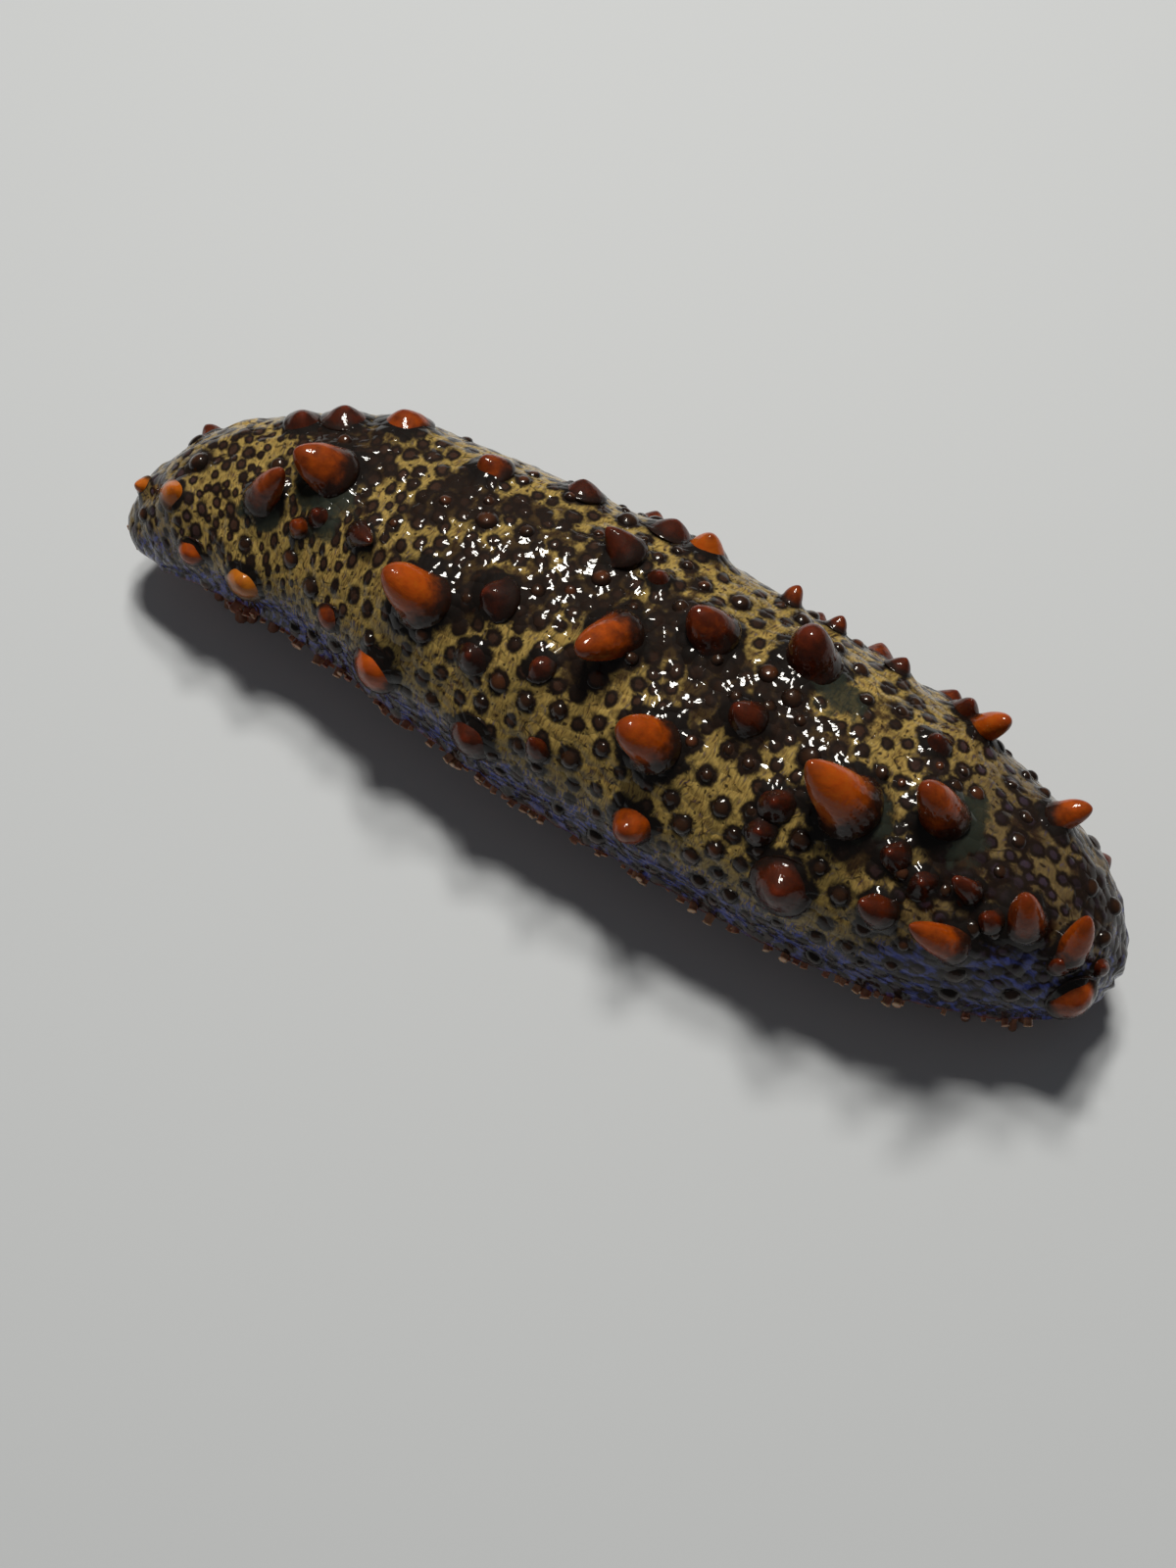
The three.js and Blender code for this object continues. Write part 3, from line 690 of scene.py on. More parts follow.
# The lips and the pits inside them, as rows of place along the middle line and girth
MOUTH_ROWS = [(6.0, 0.0), (5.9, 0.02), (5.1, 0.035), (4.5, 0.05), (4.35, 0.09), (4.1, 0.125), (3.5, 0.145),
              (3.05, 0.155), (2.9, 0.166), (3.02, 0.178)]
VENT_ROWS = [(249.75, 0.085), (249.72, 0.07), (249.4, 0.058), (248.7, 0.046), (247.8, 0.036), (247.0, 0.02),
             (246.9, 0.0)]
MOUTH_LIP, VENT_LIP = 3.4, 249.6  # where the skin passes into the lips
BELLY_SHARE = 0.17  # of the columns, for the plainer stretch between the two flanks' seams
FLANK_ARC = arc_of(118.0)
SPOT_DOME = 0.13  # height of the swelling under a spot, as a share of its radius
SPOT_FAR, SPOT_REACH = 4.0, 11.0  # the greatest distance that is told, in radii, and where spots are sought
SPOT_TONE_SEED = 8
# How wide the dark ring round each papilla is: partly near black skin, partly painted shade at its foot
SHADED_HALO = {"width": 0.16, "height": 0.2, "amber": 0.45}  # shares of a papilla's sizes, less at an amber one
AMBER = 0.6  # the least tint of an amber one

# Where the skin is darkened: the ragged edge of the zones, and the clouds, which fade away on both sides of
# the angle middle
ZONE_EDGE, ZONE_RAGGED = (1.5, 0.6), 0.3
CLOUDS = {"noise": (7.0, 30, 15), "middle": 2, "around": (60, 15), "along": (25, 75), "least": 0.12,
          "growth": 0.7}

# The violet tint of each part of the skin, partly its own purplish colour and partly a painted blue
# reflection: how strong it is, where it starts and where it is whole
TINT_AND_SHEEN = {"side": (0.85, 66, 88), "tail": (1.15, 196, 210), "tip": (0.85, 232, 243), "head": (0.7, 24, 8)}
TINT_AND_SHEEN_EDGE = {"around": 68, "climb": 50, "along": (196, 240), "below": 5, "above": 9}
HEAD_LEFT = (-25, -50)

# The rest of the skin: where its relief and its spots are whole, how dull it is, and where the sole starts
PAST_MOUTH, BEFORE_VENT = (3.0, 5.4), (249.6, 248)  # between them the skin has its relief
SPOTTED_TO = (118, 100)
SPOT_GROWTH = 0.35  # how much spots grow where the skin is dark
DULL_TAIL, DULL_HEAD, HEAD_DULLNESS = (186, 214), (32, 10), 0.8
SOLE_EDGE = (92, 108)


def skin_grid(rows, columns):
    """Along, girth and around of the skin's rows and columns, even on the skin but sparser on the belly."""
    plain_rows = rows - len(MOUTH_ROWS) - len(VENT_ROWS)
    lengths = np.linspace(skin_length(MOUTH_LIP), skin_length(VENT_LIP), plain_rows)
    plain = np.interp(lengths, PROFILE, PROFILE_ALONG)
    mouth, vent = np.array(MOUTH_ROWS), np.array(VENT_ROWS)
    along = np.concatenate([mouth[:, 0], plain, vent[:, 0]])
    girth = np.concatenate([mouth[:, 1], fullness(plain), vent[:, 1]])
    share = np.arange(columns) / columns
    edge = BELLY_SHARE / 2
    arc = np.interp(share, [0, edge, 1 - edge, 1], [ARCS[-1], FLANK_ARC, -FLANK_ARC, -ARCS[-1]])
    return along[:, None], girth[:, None], angle_of(arc)[None, :]


def nearest_spots(along, around, spots):
    """For each place, the distance to the nearest spot, where 1 is its edge, that spot's radius and its own
    random tone."""
    spots = spots[np.argsort(spots[:, 0])]
    tones = np.random.default_rng(SPOT_TONE_SEED).uniform(0, 1, len(spots))
    arcs, spot_arcs = arc_of(around), arc_of(spots[:, 1])
    lengths, spot_lengths = skin_length(along), skin_length(spots[:, 0])
    distance = np.full(np.broadcast(along, around).shape, SPOT_FAR)
    radius = np.ones_like(distance)
    tone = np.zeros_like(distance)
    for i, (length, girth) in enumerate(zip(lengths[:, 0], fullness(along)[:, 0])):
        first, last = np.searchsorted(spot_lengths, (length - SPOT_REACH, length + SPOT_REACH))
        if last == first:
            continue
        near = spots[first:last]
        down = (length - spot_lengths[first:last]) / near[:, 2]
        across = (arcs[0][:, None] - spot_arcs[first:last]) * girth / near[:, 3]
        gaps = np.hypot(down, across)
        best = gaps.argmin(1)
        distance[i] = np.minimum(gaps[np.arange(len(best)), best], SPOT_FAR)
        radius[i] = near[best, 2]
        tone[i] = tones[first:last][best]
    return distance, radius, tone


def shaded_halo_distance(along, around):
    """Distance to the nearest papilla's edge as a share of the width of the dark ring round it, which is
    partly near black skin and partly painted shade at the papilla's foot.
    """
    points = body_point(along, around)
    nearest = np.full(points.shape[:-1], SPOT_FAR)
    for point, (_, _, height, width, _, _, tint) in zip(PAPILLA_POINTS, ALL_PAPILLAE):
        shaded_halo = (SHADED_HALO["width"] * width + SHADED_HALO["height"] * height) * (SHADED_HALO["amber"] if tint > AMBER else 1)
        gap = np.linalg.norm(points - point, axis=-1) - 0.5 * width
        nearest = np.minimum(nearest, gap / shaded_halo)
    return np.maximum(nearest, -1)


def darkness(along, around):
    """How far the skin is darkened, 0 to 1: by the zones, and by clouds of noise down the mottled back."""
    cloud = skin_noise(along, around, *CLOUDS["noise"])
    zones = smooth(*ZONE_EDGE, patch_distance(along, around, DARK_ZONES) + ZONE_RAGGED * cloud)
    back = smooth(*CLOUDS["around"], np.abs(around - CLOUDS["middle"])) * smooth(*CLOUDS["along"], along)
    return np.clip(np.maximum(zones, back * (CLOUDS["least"] + CLOUDS["growth"] * cloud)), 0, 1)


def tint_and_sheen(part, place):
    """One part's share of the violet tint, partly purplish skin and partly a painted blue reflection:
    strength smooth(start, whole, place).
    """
    strength, start, whole = TINT_AND_SHEEN[part]
    return strength * smooth(start, whole, place)


def margin_tint_and_sheen(along, around):
    """How far the violet tint, partly purplish skin and partly a painted blue reflection, covers the skin:
    along the lower margins, at the mouth, and over the lower left of the tail, where its edge climbs towards
    the vent."""
    edge = TINT_AND_SHEEN_EDGE["around"] - TINT_AND_SHEEN_EDGE["climb"] * smooth(*TINT_AND_SHEEN_EDGE["along"], along)
    side = tint_and_sheen("side", np.abs(around))
    tail = tint_and_sheen("tail", along) * smooth(edge - TINT_AND_SHEEN_EDGE["below"], edge + TINT_AND_SHEEN_EDGE["above"], -around)
    head = tint_and_sheen("head", along) * smooth(*HEAD_LEFT, around)
    return np.maximum(np.maximum(side, tail), np.maximum(head, tint_and_sheen("tip", along)))


def skin_material(settings):
    """Wet mucous skin of a sea cucumber: khaki ground with streaks that run round the body and a broken net
    of fine cracks, dark spots with a warmer middle, zones where the spots run together, near black rings at
    the papillae, partly dark skin and partly painted shade, smooth grey-green patches beside them, partly
    smooth skin and partly painted shadow, and violet margins, partly purplish skin and partly a painted blue
    reflection.
    The water on it gives a small sharp glint on every wart."""
    material, tree, place, read = new_material(
        "wet_spotted_skin", "skin_down", "skin_across", "spot", "side", "margin", "dark", "shaded_halo", "shaded_patch",
        "dull", "tone")
    even = add_node(tree, "CombineXYZ", {}, {"X": read["skin_down"], "Y": read["skin_across"]}).outputs[0]
    wander = add_node(tree, "TexNoise", {}, {"Vector": place, "Scale": 300.0, "Detail": 3.0})
    sheet = add_node(tree, "VectorMath", {"operation": "MULTIPLY_ADD"}, {
        0: wander.outputs["Color"], 1: (2.4, 2.4, 0), 2: even}).outputs[0]

    # Streaks about 0.5 mm wide and 3 mm long that run round the body, violet ones about 1 mm wide that run
    # down it, partly purplish skin and partly a painted blue reflection, slower drifts, and ragged and torn
    # edges: where each noise is read, its scale and its detail
    across, down = (add_node(tree, "Mapping", {}, {"Vector": sheet, "Scale": scale}).outputs[0]
                    for scale in ((2.2, 0.42, 1), (0.22, 0.95, 1)))
    noise = {}
    for name, vector, scale, detail in (
            ("streak", across, 1.0, 4.0), ("violet", down, 1.0, 3.0), ("drift", place, 70.0, 2.0),
            ("ragged", place, 620.0, 3.0), ("torn", place, 330.0, 4.0)):
        noise[name] = add_node(tree, "TexNoise", {}, {
            "Vector": vector, "Scale": scale, "Detail": detail}).outputs["Fac"]

    # A net of cracks 0.4 mm wide in cells of 4 mm, flecks in cells of 1.6 mm, about half of them filled, and
    # domes in cells of 2.5 mm
    flat = {"voronoi_dimensions": "2D"}
    net = add_node(tree, "TexVoronoi", {**flat, "feature": "DISTANCE_TO_EDGE"}, {
        "Vector": sheet, "Scale": 0.26})
    cells, domes = (add_node(tree, "TexVoronoi", flat, {"Vector": vector, "Scale": scale})
                    for vector, scale in ((sheet, 0.62), (even, 0.4)))
    fleck, dome = (add_node(tree, "SeparateColor", {}, {"Color": pattern.outputs["Color"]}).outputs[0]
                   for pattern in (cells, domes))

    # The value, the two ends of its range, and what they become
    span = {}
    for name, value, low, high, least, most in (
            ("shade", noise["drift"], 0.3, 0.7, 0.62, 1.12),
            ("ragged", noise["ragged"], 0.3, 0.7, -0.16, 0.16),
            ("streaked", noise["streak"], 0.3, 0.7, -0.4, 0.4),
            ("torn", noise["torn"], 0.25, 0.75, -0.6, 0.6),
            ("fleck", fleck, 0.45, 1.0, 0.0, 0.28),
            ("dome", dome, 0.0, 1.0, 0.5, 1.3)):
        span[name] = add_node(tree, "MapRange", {}, {
            "Value": value, "From Min": low, "From Max": high, "To Min": least, "To Max": most}).outputs[0]

    # What the mesh carries, with its edges roughened, and the flecks' distance from their own edges
    field = {}
    for name, edge in (("spot", "ragged"), ("side", "ragged"), ("margin", "streaked"), ("dark", "torn"),
                       ("shaded_halo", "torn"), ("shaded_patch", "torn")):
        field[name] = add_node(tree, "Math", {"operation": "ADD"}, {0: read[name], 1: span[edge]}).outputs[0]
    field["fleck"] = add_node(tree, "Math", {"operation": "SUBTRACT"}, {
        0: span["fleck"], 1: cells.outputs["Distance"]}).outputs[0]

    # How far each layer covers: the value, where it starts to, where it does in full, and how much that is
    share = {"dull": read["dull"]}
    for name, value, low, high, most in (
            ("streak", noise["streak"], 0.4, 0.68, 1.0),
            ("crack", net.outputs["Distance"], 0.09, 0.01, 1.0),
            ("cloud", wander.outputs["Fac"], 0.42, 0.6, 0.85),
            ("pale", field["spot"], 1.9, 1.3, 0.3),
            ("inside", field["spot"], 1.3, 0.84, 1.0),
            ("middle", field["spot"], 0.68, 0.4, 0.9),
            ("warm", read["tone"], -0.2, 0.8, 1.0),
            # The violet margins: partly purplish skin, partly a painted blue reflection
            ("tint_and_sheen", field["margin"], 0.15, 0.85, 0.94),
            ("violet", noise["violet"], 0.36, 0.62, 1.0),
            ("fleck", field["fleck"], -0.06, 0.08, 0.85),
            ("zone", field["dark"], 0.15, 0.8, 0.9),
            # Dark ring round the papillae: partly near black skin, partly painted shade
            ("shaded_halo", field["shaded_halo"], 1.3, 0.5, 1.0),
            # Grey-green patches: partly smooth skin, partly painted shadow
            ("shaded_patch", field["shaded_patch"], 1.2, 0.7, 0.9),
            ("below", field["side"], 0.1, 0.9, 1.0)):
        share[name] = add_node(tree, "MapRange", SMOOTHSTEP, {
            "Value": value, "From Min": low, "From Max": high, "To Max": most}).outputs[0]

    # Cracks are broken up, pale rings weaken where the skin is dull, and middles where it is dark
    bright, clear = (add_node(tree, "Math", {"operation": "MULTIPLY_ADD"}, {
        0: read[name], 1: -loss, 2: 1.0}).outputs[0] for name, loss in (("dull", 0.8), ("dark", 0.7)))
    for name, factor in (("dull", 0.8), ("crack", share["cloud"]), ("pale", bright),
                         ("middle", share["warm"]), ("middle", clear)):
        share[name] = add_node(tree, "Math", {"operation": "MULTIPLY"}, {
            0: share[name], 1: factor}).outputs[0]

    # Colours that pass from one into another, and the ground's own, darker and lighter by the drifts
    streaked, violet, muscle, warmer = (add_node(tree, "Mix", COLOUR, {
        0: share[name], MIX_A: first, MIX_B: second}).outputs[MIX_RESULT] for name, first, second in (
            ("streak", settings.ground, settings.streak),
            # The violet of the margins is partly purplish skin and partly a painted blue reflection
            ("violet", settings.margin_dark, settings.margin),
            ("cloud", settings.sole, settings.sole_dark),
            ("dull", settings.spot_middle, settings.dull_middle)))
    spot = add_node(tree, "Mix", COLOUR, {
        0: share["middle"], MIX_A: settings.spot, MIX_B: warmer}).outputs[MIX_RESULT]
    colour = add_node(tree, "Mix", {**COLOUR, "blend_type": "MULTIPLY"}, {
        0: 1.0, MIX_A: streaked, MIX_B: span["shade"]}).outputs[MIX_RESULT]

    # The layers over the ground, from the lowest. The violet margins are partly a painted blue reflection,
    # the near black rings round the papillae partly painted shade, and the grey-green patches partly painted
    # shadow
    for name, over in (
            ("dull", settings.dull_ground), ("crack", settings.spot), ("pale", settings.pale),
            ("tint_and_sheen", violet), ("fleck", settings.spot), ("zone", settings.zone), ("inside", spot),
            ("shaded_halo", settings.shaded_halo), ("shaded_patch", settings.shaded_patch), ("below", muscle)):
        colour = add_node(tree, "Mix", COLOUR, {
            0: share[name], MIX_A: colour, MIX_B: over}).outputs[MIX_RESULT]

    # Micro relief: low domes, unlike in height, whose wet tops take the lamps' glints, and pores
    height = domes.outputs["Distance"]
    for factor in (domes.outputs["Distance"], span["dome"]):
        height = add_node(tree, "Math", {"operation": "MULTIPLY"}, {0: height, 1: factor}).outputs[0]
    deep = add_node(tree, "Bump", {"invert": True}, {
        "Strength": 1.0, "Distance": 0.46 * MM, "Height": height})
    _, normal = unevenness(tree, place, 1100.0, 1.0, 0.12, 0.1, Normal=deep.outputs[0])
    wet_shader(tree, colour, normal, subsurface=0.1, scale=0.6, film=0.8)
    return material


class SEACUCUMBER_OT_skin(bpy.types.Operator):
    """Makes the one skin of the whole body, from the throat of the mouth to the vent"""
    bl_idname = "seacucumber.skin"
    bl_label = "Skin"

    def execute(self, context):
        settings = context.scene.sea_cucumber_skin
        spots = scatter_spots(settings.spot_gap / MM)
        along, girth, around = skin_grid(settings.rows, settings.columns)
        out, _, _ = body_frame(along, around)
        distance, radius, tone = nearest_spots(along, around, spots)
        domes = SPOT_DOME * radius * (1 - np.minimum(distance, 1) ** 2) ** 1.5
        dark = darkness(along, around)
        between_lips = smooth(*PAST_MOUTH, along) * smooth(*BEFORE_VENT, along)
        domes = domes * smooth(*SPOTTED_TO, np.abs(around))
        height = relief(along, around) + vent_folds(along, around) + domes
        points = body_point(along, around, girth) + out * (height * between_lips)[..., None]
        values = {
            "spot": distance / (1 + SPOT_GROWTH * dark),
            "dark": dark,
            # Violet margins and tail: partly purplish skin, partly a painted blue reflection
            "margin": margin_tint_and_sheen(along, around),
            "dull": np.maximum(smooth(*DULL_TAIL, along), HEAD_DULLNESS * smooth(*DULL_HEAD, along)),
            # Dark ring round the papillae: partly near black skin, partly painted shade
            "shaded_halo": shaded_halo_distance(along, around),
            # Grey-green patches: partly smooth skin, partly painted shadow
            "shaded_patch": patch_distance(along, around, SMOOTH_SHADED_PATCHES),
            "side": smooth(*SOLE_EDGE, np.abs(around)),
            "tone": tone,
            "skin_down": skin_length(along),
            "skin_across": arc_of(around) * girth,
        }
        values = {key: array[None] for key, array in values.items()}
        skin = add_piece("skin", points[None], values, skin_material(settings))
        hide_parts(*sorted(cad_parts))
        return {"FINISHED"}


# Papillae


class PapillaSettings(bpy.types.PropertyGroup):
    dark: colour_property("Dark", "Near black brown of the small papillae", "#220e08")
    brown: colour_property("Brown", "Red-brown of the middling papillae", "#4a1904")
    orange: colour_property("Orange", "Body of the large papillae", "#9c4203")
    amber: colour_property("Amber", "Papillae of the head and the flanks", "#a86413")
    tip: colour_property("Tip", "Darker tips", "#5a1d07")


BEND = 1.3  # the power by which a form leans more towards its tip


def rings_round(middle, first, second, radii, sides):
    """Rings on the points of pieces' axes: middle + radius (first cos t + second sin t), t once round. A
    radius may differ from side to side."""
    turn = np.linspace(0, 2 * np.pi, sides, endpoint=False)[:, None]
    ring = first[:, :, None] * np.cos(turn) + second[:, :, None] * np.sin(turn)
    return middle[:, :, None] + radii[..., None] * ring


def rising(places, heights, radii, sides):
    """Closed forms that rise from the skin, as pieces x rows x sides x 3. Row by row, heights is the share of
    the whole height and radii that of half the width. A ring stands square to its axis, which bends from the
    skin's own normal towards the lean: offset = normal H s + lean H s^1.3."""
    along, around, height, width, lean_vent, lean_right = (places[:, i] for i in range(6))
    out, towards_vent, towards_right = body_frame(along, around)
    lean = towards_vent * lean_vent[:, None] + towards_right * lean_right[:, None]
    above = np.maximum(heights, 0)[None, :, None]
    axis = unit(out[:, None] + lean[:, None] * BEND * above ** (BEND - 1))
    vent = np.broadcast_to(towards_vent[:, None], axis.shape)
    first = unit(vent - axis * (vent * axis).sum(-1, keepdims=True))
    offset = out[:, None] * heights[None, :, None] + lean[:, None] * above ** BEND
    middle = body_point(along, around)[:, None] + height[:, None, None] * offset
    wide = (width / 2)[:, None, None] * radii[..., None]
    return rings_round(middle, first, np.cross(axis, first), wide, sides)


def papilla_material(settings):
    """Translucent mucous flesh of a papilla: orange light comes through its sides, its tip is darker, and its
    base is darker too, partly its own colour and partly painted shade where it meets the skin. The film of
    water over it gives round glints."""
    material, tree, place, read = new_material("translucent_papilla_flesh", "tint", "rise")
    mottle = add_node(tree, "TexNoise", {}, {"Vector": place, "Scale": 420.0, "Detail": 3.0})
    drift = add_node(tree, "MapRange", {}, {
        "Value": mottle.outputs["Fac"], "From Min": 0.3, "From Max": 0.7, "To Min": -0.07, "To Max": 0.07})
    tint, height = (add_node(tree, "Math", {"operation": "ADD"}, {
        0: read[name], 1: drift.outputs[0]}).outputs[0] for name in ("tint", "rise"))
    # The flesh by tint, and the near black of the foot, which is partly the papilla's own darker base and
    # partly painted shade where it meets the skin
    flesh, foot = (add_node(tree, "ValToRGB", {}, {"Fac": tint}, stops).outputs["Color"] for stops in (
        [(0.0, settings.dark), (0.25, settings.brown), (0.5, settings.orange), (1.0, settings.amber)],
        [(0.0, linear("#180c07")), (0.6, linear("#22110a")), (1.0, linear("#4b3417"))]))
    for low, high, most, over in ((0.5, 0.08, 1.0, foot), (0.8, 1.08, 0.75, settings.tip)):
        share = add_node(tree, "MapRange", SMOOTHSTEP, {
            "Value": height, "From Min": low, "From Max": high, "To Max": most}).outputs[0]
        flesh = add_node(tree, "Mix", COLOUR, {0: share, MIX_A: flesh, MIX_B: over}).outputs[MIX_RESULT]
    _, normal = unevenness(tree, place, 620.0, 2.0, 0.45, 0.4)
    wet_shader(tree, flesh, normal, roughness=0.6, subsurface=0.25, radius=(1.0, 0.35, 0.08), scale=1.6,
               film=0.9)
    return material


# A standing papilla, and what a low dome has instead, adds or takes away. The flare is that of its foot, as a
# share of its radius, and the swell is how far it is out of round
PAPILLA = {"seed": 14, "sides": 28, "powers": (0.44, 0.62), "fullness": 2.1, "flare": 0.3, "flare_to": 0.3,
           "narrowing": 1.3, "swell": 0.05, "twist": 3}
LOW_PAPILLA = {"power": 0.64, "wider": 0.2, "fullness": 1.1, "flare": 0.08}
PAPILLA_HEIGHTS = np.concatenate([
    [-0.3, -0.28, -0.12, -0.03], np.sin(np.linspace(0.04, np.pi / 2, 18)) ** 1.15])


class SEACUCUMBER_OT_papillae(bpy.types.Operator):
    """Makes the large soft papillae of the back and both flanks, as one mesh. Height h has the radius
    (1 - h^2.1)^0.5 on a standing one and (1 - h)^0.64 on a low dome, and flares out at the foot"""
    bl_idname = "seacucumber.papillae"
    bl_label = "Papillae"

    def execute(self, context):
        settings = context.scene.sea_cucumber_papillae
        count, sides = len(ALL_PAPILLAE), PAPILLA["sides"]
        rng = np.random.default_rng(PAPILLA["seed"])
        above = np.clip(PAPILLA_HEIGHTS, 0, 1)
        low = lowness(ALL_PAPILLAE[:, 2], ALL_PAPILLAE[:, 3])[:, None]
        power = rng.uniform(*PAPILLA["powers"], (count, 1)) * (1 - low) + LOW_PAPILLA["power"] * low
        flare = (PAPILLA["flare"] - LOW_PAPILLA["flare"] * low) * (
            1 - np.clip(above / PAPILLA["flare_to"], 0, 1)) ** 2
        profile = (1 - above ** (PAPILLA["fullness"] - LOW_PAPILLA["fullness"] * low)) ** power
        radii = (1 + LOW_PAPILLA["wider"] * low) * profile + flare
        radii = radii * (1 + PAPILLA["narrowing"] * np.minimum(PAPILLA_HEIGHTS, 0))
        radii[:, 0] = 0
        rings = rising(ALL_PAPILLAE, PAPILLA_HEIGHTS, radii, sides)
        turn = np.linspace(0, 2 * np.pi, sides, endpoint=False)
        phase = rng.uniform(0, 2 * np.pi, (3, count, 1, 1))
        twist = PAPILLA["twist"] * above[:, None]
        swell = sum(PAPILLA["swell"] / waves * np.sin(waves * turn + start + twist)
                    for waves, start in enumerate(phase, 1))
        middle = rings.mean(2, keepdims=True)
        rings = middle + (rings - middle) * (1 + swell)[..., None]
        values = {"rise": PAPILLA_HEIGHTS[None, :, None], "tint": ALL_PAPILLAE[:, 6][:, None, None]}
        add_piece("papillae", rings, values, papilla_material(settings))
        return {"FINISHED"}


# Warts


def on_skin(along, around, width, form, rng):
    """Small forms that stand on the finished skin, as pieces x rows x sides x 3, and how far up each row is.
    Their heights, as shares of their widths, and their leans are drawn at random."""
    height = width * rng.uniform(*form["height"], len(width))
    lean = rng.uniform(-form["lean"], form["lean"], (len(width), 2))
    heights, radii = np.transpose(form["rows"])
    rings = rising(np.column_stack([along, around, height, width, lean]), heights, radii, form["sides"])
    shift = skin_point(along, around) - body_point(along, around)
    return rings + shift[:, None, None], np.clip(heights, 0, 1)[None, :, None]


def wart_material():
    """Wet horny-looking wart: dark brown round its foot, with an amber top that lets light through."""
    material, tree, place, read = new_material("wet_wart", "rise", "tone")
    plain, amber = (add_node(tree, "ValToRGB", {}, {"Fac": read["rise"]}, [
        (position, linear(colour)) for position, colour in zip((0.0, 0.5, 0.95), colours)]).outputs["Color"]
        for colours in (("#120a06", "#1b100a", "#2f1c10"), ("#140b07", "#25140c", "#4a2714")))
    chosen = add_node(tree, "MapRange", SMOOTHSTEP, {
        "Value": read["tone"], "From Min": 0.6, "From Max": 1.0}).outputs[0]
    colour = add_node(tree, "Mix", COLOUR, {0: chosen, MIX_A: plain, MIX_B: amber}).outputs[MIX_RESULT]
    _, normal = unevenness(tree, place, 1100.0, 1.0, 0.35, 0.25)
    wet_shader(tree, colour, normal, roughness=0.35, subsurface=0.15)
    return material


# The warts' form, whose rows give shares of the height and of half the width, and which spots carry one
WART_FORM = {
    "rows": [(-0.8, 0), (-0.8, 1.3), (0, 1.08), (0.42, 0.91), (0.77, 0.64), (0.95, 0.31), (1, 0)],
    "sides": 12, "height": (0.18, 0.32), "lean": 0.25, "seed": 31, "least_spot": 1.9, "width": (1.1, 1.5),
    "large": 0.8}


class SEACUCUMBER_OT_warts(bpy.types.Operator):
    """Makes the raised warts that stand on the larger spots, as one mesh"""
    bl_idname = "seacucumber.warts"
    bl_label = "Warts"

    def execute(self, context):
        spots = scatter_spots(context.scene.sea_cucumber_skin.spot_gap / MM)
        large = len(LARGE_WARTS)
        spots = spots[(np.arange(len(spots)) < large) | (spots[:, 2] > WART_FORM["least_spot"])]
        rng = np.random.default_rng(WART_FORM["seed"])
        width = spots[:, 2] * rng.uniform(*WART_FORM["width"], len(spots))
        width[:large] = LARGE_WARTS[:, 2] * WART_FORM["large"]
        rings, rise = on_skin(spots[:, 0], spots[:, 1], width, WART_FORM, rng)
        values = {"rise": rise, "tone": rng.uniform(0, 1, len(spots))[:, None, None]}
        add_piece("warts", rings, values, wart_material())
        return {"FINISHED"}


# Tube feet


class FeetSettings(bpy.types.PropertyGroup):
    stalk: colour_property("Stalk", "Pinkish amber of the tube feet", "#a3755a")
    sucker: colour_property("Sucker", "Paler rims of the suckers", "#d0ab88")
    red: colour_property("Reddish", "Red-brown of some of the feet", "#7a3428")
    step: bpy.props.FloatProperty(
        name="Step", description="From one row of tube feet to the next", unit="LENGTH",
        default=2.6 * MM, min=1.0 * MM)


# The sole's feet stand in bands at these offsets from the middle line. Each row of a foot has its height as a
# share and its radius in millimetres
FOOT_BANDS = np.array([-19.5, -16.5, -13.5, -6.5, -3.0, 3.0, 6.5, 13.5, 16.5, 19.5])
FOOT_ROWS = np.array([
    (1.0, 0.0), (1.0, 1.15), (0.5, 0.9), (0.19, 0.85), (0.08, 1.35), (0.0, 1.5), (0.0, 0.0)])
# The jitter is how far a root strays along the body and sideways, and the stray is how far the sucker does
# from below it. The bands draw in with the girth, to which the spare is added. No foot stands where the belly
# is higher than the reach
FOOT = {"seed": 37, "sides": 9, "ends": (15.0, 240.0), "jitter": (0.8, 0.9), "spare": 0.05,
        "size": (0.65, 1.15), "splay": 0.12, "stray": 1.1, "buried": 1.8, "reach": 8.0, "tones": (0.1, 0.5)}

# The small ones of both flanks, given as the warts are
FLANK_FEET = {
    "rows": [(-0.6, 0), (-0.6, 0.95), (0.2, 0.8), (0.7, 0.75), (0.9, 0.92), (0.97, 0.6), (1, 0)],
    "sides": 9, "height": (0.6, 0.9), "lean": 0.3, "seed": 23, "count": 210, "along": (12, 243),
    "around": (98, 114), "width": (1.3, 2.5), "tone": 0.6, "front_tone": 0.2, "front": (100, 70)}


def foot_material(settings):
    """Wet muscle of a tube foot: a translucent pinkish stalk with a paler sucker."""
    material, tree, place, read = new_material("tube_foot_flesh", "rise", "tone")
    flesh = add_node(tree, "ValToRGB", {}, {"Fac": read["rise"]}, [
        (0.0, settings.stalk), (0.7, settings.stalk), (1.0, settings.sucker)]).outputs["Color"]
    colour = add_node(tree, "Mix", COLOUR, {
        0: read["tone"], MIX_A: flesh, MIX_B: settings.red}).outputs[MIX_RESULT]
    _, normal = unevenness(tree, place, 1300.0, 2.0, 0.3, 0.2)
    wet_shader(tree, colour, normal, roughness=0.35, subsurface=0.3)
    return material


def belly_height(along, offset):
    """Height of the belly above the floor at distances to one side of the middle line, by the section's own
    formula: (x / half width)^n + (z / drop)^n = 1."""
    _, _, up = directions(along)
    girth = fullness(along)
    across = np.minimum(np.abs(offset) / (HALF_WIDTH * girth), 1)
    drop = BELLY_DROP * girth * belly_ratio(along)
    return centre(along)[:, 2] - up[:, 2] * drop * (1 - across ** BELLY_ROUNDNESS) ** (1 / BELLY_ROUNDNESS)


